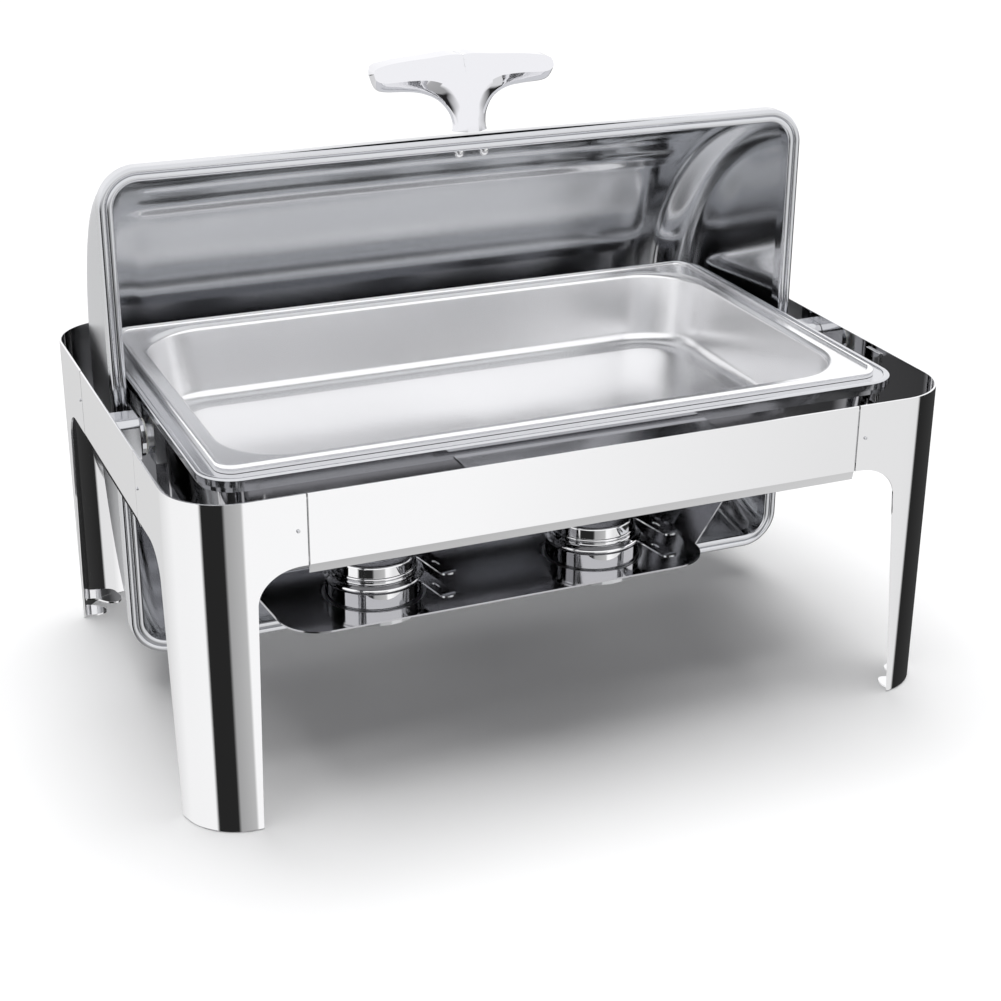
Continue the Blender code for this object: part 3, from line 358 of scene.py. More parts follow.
# %% Sizes of the stand, read from the frame
SHEET = 0.0015
STAND_CORNER = 0.046
leg_low, leg_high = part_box("leg_front_left")
rail_low, rail_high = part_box("rail_front")
STAND_HALF_X = -leg_low[0]
STAND_HALF_Y = -leg_low[1]
STAND_HEIGHT = leg_high[2]
SEAM_GAP = 0.0005
FOOT_WIDTH = {-1: 0.049, 1: 0.040}
SIDE_FOOT_WIDTH = 0.038
FOOT_REACH = 0.018
FRONT_SEAM = -leg_high[0]
SIDE_SEAM = -leg_high[1]
RAIL_LIP = 0.007
RAIL_BOTTOM = rail_low[2] + RAIL_LIP
print("stand", round(2 * STAND_HALF_X, 4), round(2 * STAND_HALF_Y, 4), round(STAND_HEIGHT, 4))


# %% Make the legs
def leg_plan(side_x, side_y):
    """The bent sheet seen from above: along its outer face, then back along its inner face."""
    points = []
    for inset, forward in ((0.0, True), (SHEET, False)):
        centre = (STAND_HALF_X - STAND_CORNER, STAND_HALF_Y - STAND_CORNER)
        radius = STAND_CORNER - inset
        run = [(FRONT_SEAM + SEAM_GAP, STAND_HALF_Y - inset)]
        run += arc(centre, radius, radius, 90, 0, 30)
        run += [(STAND_HALF_X - inset, SIDE_SEAM + SEAM_GAP)]
        points += run if forward else run[::-1]
    return [(side_x * a, side_y * b) for a, b in points]


def arch(seam, foot, top, run, rise=0.026):
    """The cut-out beside a leg: straight up from its foot, then a quarter of an ellipse to the seam."""
    corner = arc((top - run, RAIL_BOTTOM - rise), run, rise, 0, 90, 20)
    return [(seam - 0.01, -0.01), (foot, -0.01)] + corner + [(seam - 0.01, RAIL_BOTTOM)]


def foot_tab(side_x, side_y, start, end):
    """A tab turned in under the leg between two angles of its bend, with a rounded inner edge."""
    centre = (STAND_HALF_X - STAND_CORNER, STAND_HALF_Y - STAND_CORNER)
    radius = STAND_CORNER - 0.4 * SHEET
    points = arc(centre, radius, radius, start, end, 8)
    for step in range(15):
        share = math.pi * step / 14
        angle = math.radians(end + (start - end) * (1 - math.cos(share)) / 2)
        reach = radius - FOOT_REACH * (0.45 + 0.55 * math.sin(share))
        points.append((centre[0] + reach * math.cos(angle), centre[1] + reach * math.sin(angle)))
    return prism([(side_x * a, side_y * b) for a, b in points], "Z", 0.0, SHEET)


def make_leg(name, side_x, side_y):
    leg = to_object(f"{name}_sheet", prism(leg_plan(side_x, side_y), "Z", SHEET / 2, STAND_HEIGHT))
    front = arch(FRONT_SEAM, STAND_HALF_X - FOOT_WIDTH[side_x], STAND_HALF_X - 0.053, 0.032)
    side = arch(SIDE_SEAM, STAND_HALF_Y - SIDE_FOOT_WIDTH, STAND_HALF_Y - 0.057, 0.028)
    reach_y = sorted((side_y * (STAND_HALF_Y - 0.02), side_y * (STAND_HALF_Y + 0.01)))
    reach_x = sorted((side_x * (STAND_HALF_X - 0.02), side_x * (STAND_HALF_X + 0.01)))
    carve(leg, [prism([(side_x * a, b) for a, b in front], "Y", *reach_y),
                prism([(side_y * a, b) for a, b in side], "X", *reach_x)])
    carve(leg, [foot_tab(side_x, side_y, 53, 79), foot_tab(side_x, side_y, 11, 37)], "UNION")
    return piece(leg, "stand", MIRROR, name, edge=0.00035)


for depth, side_y in (("front", -1), ("back", 1)):
    for hand, side_x in (("left", -1), ("right", 1)):
        leg = make_leg(f"leg_{depth}_{hand}", side_x, side_y)
print("legs made, the last with", len(leg.data.polygons), "faces")

# %% [markdown]
# ## The rails
# A rail is a flat strip whose lower edge is folded in and down, so that it is stiff and has no sharp edge.
# It meets the legs with a hairline seam, and a tab behind each seam takes a rivet whose head shows as a
# dimple. The section is drawn once and pushed along, and the tabs are joined on.


# %% Make the rails and the tabs for their rivets
def make_rail(name, axis, side):
    seam, half = (FRONT_SEAM, STAND_HALF_Y) if axis == "X" else (SIDE_SEAM, STAND_HALF_X)
    foot = RAIL_BOTTOM - RAIL_LIP
    section = [(0, STAND_HEIGHT), (0, RAIL_BOTTOM + 0.0006), (0.0004, RAIL_BOTTOM), (0.0022, foot),
               (0.0022 + SHEET, foot), (SHEET + 0.0004, RAIL_BOTTOM), (SHEET, RAIL_BOTTOM + 0.0006),
               (SHEET, STAND_HEIGHT)]
    outline = [(side * (half - depth), height) for depth, height in section]
    rail = to_object(f"{name}_sheet", prism(outline, axis, -seam + SEAM_GAP, seam - SEAM_GAP))
    tabs = []
    for end in (-1, 1):
        along = sorted((end * (seam - 0.006), end * (seam + 0.014)))
        depth = sorted((side * (half - SHEET - 0.0002), side * (half - 2 * SHEET - 0.0003)))
        corners = [(along[0], depth[0]), (along[1], depth[0]), (along[1], depth[1]), (along[0], depth[1])]
        if axis == "Y":
            corners = [(b, a) for a, b in corners]
        tabs.append(prism(corners, "Z", RAIL_BOTTOM + 0.006, STAND_HEIGHT - 0.004))
    carve(rail, tabs[:1], "UNION")
    carve(rail, tabs[1:], "UNION")
    return piece(rail, "stand", MIRROR, name, edge=0.0003)


make_rail("rail_front", "X", -1)
make_rail("rail_back", "X", 1)
make_rail("rail_left", "Y", -1)
make_rail("rail_right", "Y", 1)
print("rails made")

# %% [markdown]
# ## Rivets
# A blind rivet leaves a low round head. It is a turned profile, set on the face that its CAD node touches
# and pointing outwards, because a turned shape can be aimed with one rotation.

# %% Make the rivets
RIVET_RADIUS, RIVET_RISE = 0.0013, 0.0002
RIVET_SINK = 0.00032


def rivet_head():
    """The profile of a low round head, from the axis outwards and back."""
    dome = arc((0.0, 0.0), RIVET_RADIUS, RIVET_RISE, 0, 90, 6)
    return [(0.0, -0.0006), (RIVET_RADIUS, -0.0006)] + dome[:-1] + [(0.0, RIVET_RISE)]


def place_rivet(node, point, out):
    """A domed head on a face, with its axis along out."""
    work = lathe(rivet_head(), (0, 0, 0), 24)
    turn = Vector(out).to_track_quat("Z", "Y").to_matrix()
    bmesh.ops.rotate(work, cent=(0, 0, 0), matrix=turn, verts=work.verts)
    bmesh.ops.translate(work, vec=point, verts=work.verts)
    return piece(to_object(f"{node}_head", work), "stand", RIM_STEEL, node, edge=0)


for depth, side_y in (("front", -1), ("back", 1)):
    for hand, side_x in (("left", -1), ("right", 1)):
        for kind, out in (("rail", (0, side_y, 0)), ("side", (side_x, 0, 0))):
            node = f"{kind}_rivet_{depth}_{hand}"
            low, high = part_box(node)
            middle = (Vector(low) + Vector(high)) / 2
            face = Vector([(high if value > 0 else low)[i] if value else middle[i]
                           for i, value in enumerate(out)])
            place_rivet(node, face - RIVET_SINK * Vector(out), out)
print("rivets made on", RIVET_RADIUS * 2000, "mm heads")

# %% [markdown]
# ## Hinge blocks, shafts and screws
# A milled block on each side rail holds an 18 mm shaft, and a screw from below grips it. They are the only
# solid metal on the chafer, so they get a clear chamfer and a brushed shaft.

# %% Make the hinge
SHAFT_BORE = 0.0093


def make_hinge(hand, side):
    low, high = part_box(f"hinge_block_{hand}")
    outline = rounded_rectangle((high[1] - low[1]) / 2, (high[2] - low[2]) / 2, 0.007, 8,
                                ((high[1] + low[1]) / 2, (high[2] + low[2]) / 2))
    block = to_object(f"hinge_block_{hand}_milled", prism(outline, "X", low[0], high[0]))
    inner, outer = sorted((low[0], high[0]), key=abs)
    bore = prism(round_outline(SHAFT_BORE, 16, (0, AXIS_Z)), "X",
                 *sorted((inner - side * 0.01, outer - side * 0.003)))
    carve(block, [bore])
    piece(block, "stand", RIM_STEEL, f"hinge_block_{hand}", edge=0.0012, segments=3)
    low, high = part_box(f"hinge_shaft_{hand}")
    radius, length = (high[2] - low[2]) / 2, high[0] - low[0]
    profile = [(0, -length / 2), (radius - 0.001, -length / 2), (radius, 0.001 - length / 2),
               (radius, length / 2 - 0.001), (radius - 0.001, length / 2), (0, length / 2)]
    shaft = lathe(profile, ((low[0] + high[0]) / 2, 0, AXIS_Z), 48, axis="X")
    piece(to_object(f"hinge_shaft_{hand}_turned", shaft), "stand", SATIN, f"hinge_shaft_{hand}", edge=0,
          slot="brushed_satin_steel")


make_hinge("left", -1)
make_hinge("right", 1)
print("hinge blocks and shafts made")

# %% [markdown]
# ## The burner tray
# The tray is one strip with two round holes, bent up at both ends until it reaches the hinge shafts. It
# hides under the pans and mirrors their dark undersides, and its steel is painted darker as painted shade,
# which together make it look almost black. The flat plate and the bent ends are pushed outlines, joined, and
# the holes are cut last.

# %% Make the tray
tray_low, tray_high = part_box("burner_tray")
TRAY_TOP = 0.066
TRAY_HALF_Y = (tray_high[1] - tray_low[1]) / 2
TRAY_HALF_X = 0.188
HANGER_OUT = tray_high[0]
HANGER_HALF_Y = 0.021
BURNER_X = 0.099
BURNER_HOLE = 0.043
BEND = math.radians(56)
slope = math.tan(BEND)
tray = to_object("burner_tray_plate", prism(rounded_rectangle(TRAY_HALF_X, TRAY_HALF_Y, 0.035, 16), "Z",
                                            TRAY_TOP - SHEET, TRAY_TOP))
hangers, bores = [], []
for side in (-1, 1):
    knee = TRAY_TOP + (HANGER_OUT - SHEET - TRAY_HALF_X) * slope
    outer_knee = TRAY_TOP + (HANGER_OUT - TRAY_HALF_X - SHEET / math.sin(BEND)) * slope
    section = [(TRAY_HALF_X - 0.01, TRAY_TOP - SHEET + 0.0001),
               (TRAY_HALF_X + SHEET * math.tan(BEND / 2), TRAY_TOP - SHEET + 0.0001),
               (HANGER_OUT, outer_knee), (HANGER_OUT, tray_high[2]), (HANGER_OUT - SHEET, tray_high[2]),
               (HANGER_OUT - SHEET, knee), (TRAY_HALF_X, TRAY_TOP - 0.0001),
               (TRAY_HALF_X - 0.01, TRAY_TOP - 0.0001)]
    hangers.append(prism([(side * a, b) for a, b in section], "Y", -HANGER_HALF_Y, HANGER_HALF_Y))
    bores.append(prism(round_outline(SHAFT_BORE, 16, (0, AXIS_Z)), "X",
                       *sorted((side * (HANGER_OUT - 0.01), side * (HANGER_OUT + 0.01)))))
    hole = round_outline(BURNER_HOLE, 20, (side * BURNER_X, 0.0))
    bores.append(prism(hole, "Z", TRAY_TOP - 0.01, TRAY_TOP + 0.01))
carve(tray, hangers, "UNION")
carve(tray, bores)
# The tray takes the steel painted darker as painted shade.
piece(tray, "stand", SHADE_PAINTED_MIRROR, "burner_tray", edge=0.0004, slot="shaded_sheet_steel")
print("tray faces", len(tray.data.polygons))

# %% [markdown]
# ## Pans
# Both pans are deep drawn: a flat blank is pressed into a die, so each level is a rounded rectangle a little
# smaller than the one above. The rim rises in a half round bead that stiffens it, then runs flat to the
# well. The levels are lofted and the sheet gets its 0.8 mm by a Solidify modifier.

# %% Helpers for drawn pans
PAN_SHEET = 0.0008


def bead(inset, base, width, rise, steps=8):
    """(inset, height) points over a half round bead."""
    points = []
    for step in range(steps + 1):
        share = math.pi * step / steps
        points.append((inset + width * (1 - math.cos(share)) / 2, base + rise * math.sin(share)))
    return points


def fillet(inset, top, radius, steps=6):
    """A quarter turn from a flat flange down into a wall."""
    points = []
    for step in range(steps + 1):
        share = math.pi / 2 * step / steps
        points.append((inset + radius * math.sin(share), top - radius * (1 - math.cos(share))))
    return points


def floor_curve(inset, bottom, radius, steps=6):
    """A quarter turn from a wall into the floor."""
    points = []
    for step in range(steps + 1):
        share = math.pi / 2 * step / steps
        points.append((inset + radius * (1 - math.cos(share)), bottom + radius * (1 - math.sin(share))))
    return points


def drawn_pan(name, half_x, half_y, top, path, corners, steps=20):
    """Loft (inset, height) points. Corners gives the plan radius for each inset."""
    rings = []
    for inset, height in path:
        radius = corners(inset)
        rings.append([(a, b, top + height) for a, b in rounded_rectangle(half_x - inset, half_y - inset,
                                                                         radius, steps)])
    return to_object(name, loft(rings, closed_end=True))


# %% Make the food pan
food_low, food_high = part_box("food_pan")
FOOD_X, FOOD_Y, FOOD_TOP = food_high[0], food_high[1], food_high[2]
food_path = [(0.0, -0.0055)] + bead(0.0, -0.0022, 0.0048, 0.0022)
food_path += fillet(0.0112, -0.0022, 0.0045)
food_path += floor_curve(0.0215, -0.065, 0.011)
food_path += [(0.040, -0.0650), (0.0412, -0.0646), (0.0425, -0.0646), (0.0437, -0.0650), (0.060, -0.0650)]


def food_corner(inset):
    """Corners are tight at the rim and turn wide at the wall, then tighten again towards the floor."""
    if inset < 0.006:
        return 0.014 - 0.6 * inset
    return max(0.052 - 1.0 * max(0.0, inset - 0.02), 0.02)


food_pan = drawn_pan("food_pan_drawn", FOOD_X, FOOD_Y, FOOD_TOP, food_path, food_corner)
sheet_metal(food_pan, PAN_SHEET, -1.0)
# The food pan takes the satin steel painted paler as painted light.
piece(food_pan, "food_pan_body", PAN_SATIN_PAINTED_LIGHT, "food_pan", edge=0, slot="brushed_satin_steel")

# %% Make the water pan
water_low, water_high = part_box("water_pan")
WATER_X, WATER_Y, WATER_TOP = water_high[0], water_high[1], water_high[2]
water_path = [(0.0, -0.006)] + bead(0.0, -0.0013, 0.0050, 0.0013) + [(0.0135, -0.0013)]
water_path += fillet(0.0140, -0.0013, 0.0035)
water_path += floor_curve(0.0215, -0.088, 0.010)


def water_corner(inset):
    return max(0.028 - 0.9 * inset, 0.017)


water_pan = drawn_pan("water_pan_drawn", WATER_X, WATER_Y, WATER_TOP, water_path, water_corner)
water_pan.data.materials.append(RIM_STEEL)
# The second slot, for the pan's outside, is the steel painted darker as painted shade.
water_pan.data.materials.append(SHADE_PAINTED_MIRROR)
sheet_metal(water_pan, PAN_SHEET, -1.0, 1)
piece(water_pan, "water_pan_body", RIM_STEEL, "water_pan", edge=0)
print("pans", len(food_pan.data.polygons), "and", len(water_pan.data.polygons), "faces")

# %% [markdown]
# ## The rolling lid
# The shell is pressed from one sheet into half a drum with flat ends. Two low steps run round inside it near
# the rim and a shallow panel is pressed in the middle, which keeps thin sheet from drumming. It is a grid:
# one profile goes from end to end over the fillets, and is repeated round the hinge axis.

# %% Sizes of the lid
rim_low, rim_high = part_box("lid_rim")
RIM_X, RIM_Z = rim_high[0], rim_high[2] - AXIS_Z
RIM_FRONT, RIM_BACK = rim_low[1], rim_high[1]
RIM_WIDTH, RIM_CORNER = 0.011, 0.030
SHELL_SHEET = 0.0008
SHELL_EDGE = RIM_FRONT + 0.0029
SHELL_X = RIM_X - 0.0013 - SHELL_SHEET
SHELL_RADIUS = math.hypot(RIM_Z - 0.0013 - SHELL_SHEET, SHELL_EDGE)
SHELL_FILLET = 0.029
SHELL_DRAFT = 0.085
EDGE_BOW = 0.004
print("lid rim", round(2 * RIM_X, 4), "by", round(2 * RIM_Z, 4), "shell radius", round(SHELL_RADIUS, 4))


# %% Helpers for the lid
def step_in(angle, start, end, rise, soft=1.6):
    """How far the drum steps inwards between two angles round its axis, in degrees."""
    up = 1 / (1 + math.exp(-(angle - start) / soft * 4))
    down = 1 / (1 + math.exp((angle - end) / soft * 4))
    return rise * up * down


def pressed(angle):
    """The pressed steps and panel, for an angle from the drum's middle."""
    angle = abs(math.degrees(angle))
    depth = step_in(angle, 56.0, 60.0, 0.0010) + step_in(angle, 45.0, 50.5, 0.0010)
    return depth + step_in(angle, -20.0, 40.5, 0.0014, 1.2)


def crowned(x, y, z):
    """Bow the long edges: full height in the middle, and 4 mm less at the ends."""
    return (x, y, AXIS_Z + z * (1 - EDGE_BOW / RIM_Z * (x / RIM_X) ** 2))


# %% One section of the drum
def drum_section(turn, columns=12, wall=5):
    """Points from end to end of the drum at one place round its axis."""
    root = SHELL_RADIUS - SHELL_FILLET
    angle = turn * math.acos(SHELL_EDGE / root)
    points = []
    depth, height = root * math.cos(angle), root * math.sin(angle)
    for step in range(wall):
        here = SHELL_EDGE + (depth - SHELL_EDGE) * step / wall
        points.append((SHELL_X - SHELL_DRAFT * (here - SHELL_EDGE), here, height))
    for step in range(columns + 1):
        swing = math.pi / 2 * step / columns
        radius = root + SHELL_FILLET * math.sin(swing)
        angle = turn * math.acos(SHELL_EDGE / radius)
        depth, height = radius * math.cos(angle), radius * math.sin(angle)
        across = SHELL_X - SHELL_DRAFT * (depth - SHELL_EDGE) - SHELL_FILLET * (1 - math.cos(swing))
        points.append((across, depth, height))
    edge = points[-1][0]
    for inwards in (0.012, 0.018, 0.030):
        radius = SHELL_RADIUS - pressed(turn * math.acos(SHELL_EDGE / SHELL_RADIUS)) * (inwards > 0.014)
        angle = turn * math.acos(SHELL_EDGE / radius)
        points.append((edge - inwards, radius * math.cos(angle), radius * math.sin(angle)))
    last = points[-1]
    points += [(last[0] * (1 - step / 8), last[1], last[2]) for step in range(1, 9)]
    return points + [(-x, y, z) for x, y, z in points[-2::-1]]


# %% Make the lid's shell
shell_work = bmesh.new()
grid = []
for step in range(181):
    grid.append([shell_work.verts.new(crowned(*point)) for point in drum_section(-1 + step / 90)])
for first, second in zip(grid, grid[1:]):
    for here in range(len(first) - 1):
        shell_work.faces.new((first[here], first[here + 1], second[here + 1], second[here]))
bmesh.ops.remove_doubles(shell_work, verts=shell_work.verts, dist=0.000005)
shell = to_object("lid_shell_pressed", shell_work)
shell.data.materials.append(SATIN)
shell.data.materials.append(LID_OUTSIDE)
sheet_metal(shell, SHELL_SHEET, 1.0, 1)
piece(shell, "lid", SATIN, "lid_shell", edge=0, slot="brushed_satin_steel")
print("lid shell", len(shell.data.polygons), "faces")

# %% [markdown]
# ## The lid's rim
# A strip folded into a channel is bent round the shell's edge and welded at one joint. Its section is drawn
# once, and each of its points becomes a closed loop round the rim, so the loops can be lofted into a band.
# Only the loops' own points are bowed. The long sides have none between their corners, so they stay
# straight.

# %% Make the lid's rim
LONGEST_STRETCH = 0.9  # longer than any side, so none is cut. About 0.03 would let the long sides bow too


def rim_section():
    """The channel's section, as (outwards, back from its front): two round ridges and a groove between."""
    half, deep = RIM_WIDTH / 2, RIM_BACK - RIM_FRONT
    front = []
    for middle in (0.5 * half, -0.5 * half):
        for step in range(9):
            swing = math.radians(180 * step / 8)
            front.append((middle + 0.49 * half * math.cos(swing), 0.0016 * (1 - math.sin(swing))))
    return [(half, deep), (half, 0.004)] + front + [(-half, 0.004), (-half, deep), (0.001 - half, deep),
            (0.001 - half, 0.0028), (half - 0.001, 0.0028), (half - 0.001, deep)]


rim_rings = []
for out, back in rim_section():
    path = rounded_rectangle(RIM_X - RIM_WIDTH / 2 + out, RIM_Z - RIM_WIDTH / 2 + out,
                             RIM_CORNER - RIM_WIDTH / 2 + out, 20)
    path = divided(path, LONGEST_STRETCH)
    rim_rings.append([crowned(a, RIM_FRONT + back, b) for a, b in path])
rim_work = loft(rim_rings, cyclic=True)
bmesh.ops.recalc_face_normals(rim_work, faces=rim_work.faces)
rim = piece(to_object("lid_rim_folded", rim_work), "lid", RIM_STEEL, "lid_rim", edge=0)
print("lid rim", len(rim.data.polygons), "faces")

# %% [markdown]
# ## The handle
# A zinc casting, polished and plated. Two arms sweep up from a slim stem into a bar that leans back over the
# lid. Its front face is narrow and its back is wide, so the flanks show as dark bands under a white face.
# Four smooth paths, over and under the front and the back, are joined by closed loops, and one half is
# mirrored.

# %% Sizes and helpers of the handle
handle_low, handle_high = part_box("lid_handle")
HANDLE_SEAT = handle_low[2]
HANDLE_RISE = handle_high[2] - handle_low[2]
HANDLE_TIP = handle_high[0]
HANDLE_FOOT = 0.0085
HANDLE_LEAN = 0.0225


def smooth_path(points, steps=5):
    """A rounded path through points, as a Catmull-Rom spline."""
    made = []
    for index in range(len(points) - 1):
        around = [points[min(max(index + shift, 0), len(points) - 1)] for shift in (-1, 0, 1, 2)]
        p = [Vector((a, b, 0)) for a, b in around]
        for step in range(steps):
            t = step / steps
            spot = 0.5 * (2 * p[1] + (p[2] - p[0]) * t + (2 * p[0] - 5 * p[1] + 4 * p[2] - p[3]) * t**2
                          + (3 * p[1] - p[0] - 3 * p[2] + p[3]) * t**3)
            made.append((spot.x, spot.y))
    return made + [points[-1]]


# %% Outlines of the handle, as (across, up from its seat)
TIP, TOP = HANDLE_TIP - 0.0004, HANDLE_RISE - 0.0013
under_front = [(0.0052, 0.0), (0.0045, 0.010), (0.0062, 0.0215), (0.0135, 0.0325), (0.027, 0.0388),
               (0.045, 0.0402), (0.066, 0.0398), (0.0735, 0.0420), (TIP, 0.0468)]
over_front = [(0.0, 0.0), (0.0, 0.012), (0.0, 0.027), (0.0, 0.042), (0.0, TOP),
              (0.030, TOP - 0.0006), (0.057, TOP - 0.0024), (0.0715, TOP - 0.0052), (TIP, 0.0468)]
under_back = [(0.0145, 0.0), (0.0138, 0.006), (0.0160, 0.0145), (0.0235, 0.0235), (0.036, 0.0290),
              (0.050, 0.0308), (0.066, 0.0318), (0.0728, 0.0350), (TIP, 0.0440)]
over_back = [(0.0, 0.0), (0.0, 0.010), (0.0, 0.024), (0.0, 0.040), (0.0, TOP),
             (0.030, TOP - 0.0006), (0.057, TOP - 0.0024), (0.0715, TOP - 0.0050), (TIP, 0.0440)]
print("handle outlines of", len(over_front), "points")


# %% Loops round the handle
def handle_point(across, rise, back_share):
    """A point of the handle: how far across, how high, and how far from its front to its back."""
    share = min(max(rise / HANDLE_RISE, 0.0), 1.0) ** 1.6
    front_y = handle_low[1] + HANDLE_LEAN * share
    back_y = handle_low[1] + HANDLE_FOOT + (handle_high[1] - handle_low[1] - HANDLE_FOOT) * share
    return (across, front_y + (back_y - front_y) * back_share, HANDLE_SEAT + rise)


def handle_ring(corners):
    """One closed loop: across the front, round the flank, across the back and over the top."""
    over_a, under_a, under_b, over_b = corners
    ring = []
    for first, second, start, end in ((over_a, under_a, 0, 0), (under_a, under_b, 0, 1),
                                      (under_b, over_b, 1, 1), (over_b, over_a, 1, 0)):
        for step in range(5):
            share = step / 5
            swell = math.sin(share * math.pi / 2) if (start, end) == (0, 1) else share
            across = first[0] + (second[0] - first[0]) * swell
            rise = first[1] + (second[1] - first[1]) * swell
            ring.append(handle_point(across, rise, start + (end - start) * share))
    return ring


# %% Make the handle
paths = [smooth_path(path) for path in (over_front, under_front, under_back, over_back)]
handle_work = loft([handle_ring(corners) for corners in zip(*paths)])
handle_work.faces.new([vert for vert in handle_work.verts if vert.co.z < HANDLE_SEAT + 1e-7])
middle = [face for face in handle_work.faces if all(abs(vert.co.x) < 1e-7 for vert in face.verts)]
bmesh.ops.delete(handle_work, geom=middle, context="FACES")
everything = list(handle_work.verts) + list(handle_work.edges) + list(handle_work.faces)
bmesh.ops.mirror(handle_work, geom=everything, axis="X", merge_dist=0.00002)
bmesh.ops.remove_doubles(handle_work, verts=handle_work.verts, dist=0.00002)
bmesh.ops.recalc_face_normals(handle_work, faces=handle_work.faces)
handle = to_object("lid_handle_cast", handle_work)
piece(handle, "lid", HANDLE_CHROME, "lid_handle", edge=0.0009, segments=3)
print("handle", round(2 * HANDLE_TIP, 4), "wide", len(handle.data.polygons), "faces")

# %% [markdown]
# ## Cap nuts
# Two domed nuts inside the rim hold the handle. A dome hides the end of the thread, so that nothing catches
# a cloth. Each is a turned profile that hangs from its seat.


# %% Make the cap nuts
def cap_nut(name):
    low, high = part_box(name)
    middle = ((low[0] + high[0]) / 2, (low[1] + high[1]) / 2)
    radius, seat = (high[0] - low[0]) / 2, low[2] + 0.009
    skirt = [(0.0, 0.0), (radius * 0.99, 0.0), (radius, -0.0006), (radius, -0.0030),
             (radius * 0.97, -0.0036)]
    dome = arc((0.0, -0.0036), radius * 0.86, -0.0054, 0, 90, 6)
    nut = lathe(skirt + dome[:-1] + [(0.0, -0.0090)], (*middle, seat), 32)
    return piece(to_object(f"{name}_domed", nut), "lid", MIRROR, name, edge=0)


cap_nut("handle_cap_nut_left")
cap_nut("handle_cap_nut_right")
print("cap nuts made")

# %% [markdown]
# ## Fuel burners
# Each burner is a spun cup with a bead, and a loose ring on top narrows its mouth so the flame can be turned
# down. A flat strip on each makes a cool end to hold. Spun parts are turned profiles.


# %% Make the cups and covers
def make_cup(hand, centre):
    """The spun cup, its outside from the base up to the lip, then its inside back down."""
    low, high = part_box(f"burner_cup_{hand}")
    base, top, bead_radius = low[2], high[2], (high[0] - low[0]) / 2
    wall = bead_radius - 0.0012
    outside = [(0.0, base), (wall - 0.0035, base)]
    outside += arc((wall - 0.0035, base + 0.0035), 0.0035, 0.0035, -90, 0, 6)
    outside += [(wall, top - 0.0072)]
    outside += arc((wall - 0.0006, top - 0.0040), 0.0018, 0.0024, -60, 75, 8)
    outside += [(wall - 0.0012, top - 0.0004), (wall - 0.0020, top), (wall - 0.0050, top)]
    inside = [(wall - 0.0050, top - 0.001), (wall - 0.0015, top - 0.0045), (wall - 0.001, top - 0.007),
              (wall - 0.001, base + 0.0045), (wall - 0.0045, base + 0.001), (0.0, base + 0.001)]
    cup = lathe(outside + inside, centre, 72)
    piece(to_object(f"burner_cup_{hand}_spun", cup), f"burner_{hand}", MIRROR, f"burner_cup_{hand}", edge=0)


def make_cover(hand, centre):
    """The loose ring on top, which narrows the mouth."""
    node = f"burner_cover_{hand}"
    low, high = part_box(node)
    ring, base, top = (high[0] - low[0]) / 2, low[2], high[2]
    profile = [(ring - 0.001, base), (ring, base), (ring, base + 0.0022)]
    profile += arc((ring - 0.0008, base + 0.0036), 0.0008, 0.0014, -90, 90, 6)
    profile += [(ring - 0.0010, base + 0.0052), (ring - 0.0010, top - 0.0024)]
    profile += arc((ring - 0.0032, top - 0.0022), 0.0022, 0.0022, 0, 90, 6)
    profile += [(0.0235, top), (0.0220, top - 0.0008), (0.0220, top - 0.0012), (0.0236, top - 0.001),
                (ring - 0.0032, top - 0.001), (ring - 0.0020, top - 0.0024)]
    cover = lathe(profile, centre, 72)
    piece(to_object(f"{node}_spun", cover), f"burner_top_{hand}", MIRROR, node, edge=0)


for hand in ("left", "right"):
    low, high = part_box(f"burner_cup_{hand}")
    centre = ((low[0] + high[0]) / 2, 0.0, 0.0)
    make_cup(hand, centre)
    make_cover(hand, centre)
print("cups and covers made")

# %% [markdown]
# ## Strip handles
# Each strip is blanked from 1.5 mm sheet, with a round tip, a slot to hang it by, and a tip that curls up a
# little so that a finger can get under it. It is an outline cut to fit round its burner, then bent.

# %% Make the strips
STRIP_SHEET, STRIP_HALF_WIDTH = 0.0015, 0.0065
STRIP_OFFSET, STRIP_REACH = 0.028, 0.077
STRIP_ANGLE = math.radians(-80)
CURL_LENGTH, CURL_RISE, CURL_CUTS = 0.009, 0.0012, 6


def make_strip(node, body, root, cope):
    """A strip handle: a rounded outline seen from above, with its tip curled up and a hole to hang it by."""
    centre = -BURNER_X if "left" in node else BURNER_X
    half, offset, height = STRIP_HALF_WIDTH, STRIP_OFFSET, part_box(node)[0][2]
    outline = [(root, offset - half)] + arc((STRIP_REACH - half, offset), half, half, -90, 90, 16)
    outline += [(root, offset + half)]
    strip = to_object(f"{node}_strip", prism(outline, "Z", height, height + STRIP_SHEET))
    cuts = [rounded_rectangle(0.0045, 0.0016, 0.0015, 8, (0.052, offset))]
    if cope:
        cuts.append(round_outline(cope, 24))
    tools = [prism(cut, "Z", height - 0.01, height + 0.01) for cut in cuts]
    carve(strip, tools)
    work = bmesh.new()
    work.from_mesh(strip.data)
    curl_start = STRIP_REACH - CURL_LENGTH
    for step in range(CURL_CUTS):
        cut_at = curl_start + CURL_LENGTH / CURL_CUTS * step
        everything = list(work.verts) + list(work.edges) + list(work.faces)
        bmesh.ops.bisect_plane(work, geom=everything, plane_co=(cut_at, 0, 0), plane_no=(1, 0, 0))
    for vert in work.verts:
        past = max(0.0, vert.co.x - curl_start) / CURL_LENGTH
        vert.co.z += CURL_RISE * past**2
    bmesh.ops.rotate(work, cent=(0, 0, 0), matrix=Matrix.Rotation(STRIP_ANGLE, 3, "Z"), verts=work.verts)
    bmesh.ops.translate(work, vec=(centre, 0, 0), verts=work.verts)
    work.to_mesh(strip.data)
    work.free()
    return piece(strip, body, STRIP_STEEL, node, edge=0.0003)


for hand in ("left", "right"):
    make_strip(f"cup_handle_{hand}", f"burner_{hand}", 0.012, 0.0415)
    make_strip(f"cover_handle_{hand}", f"burner_top_{hand}", -0.012, None)
print("strips made")
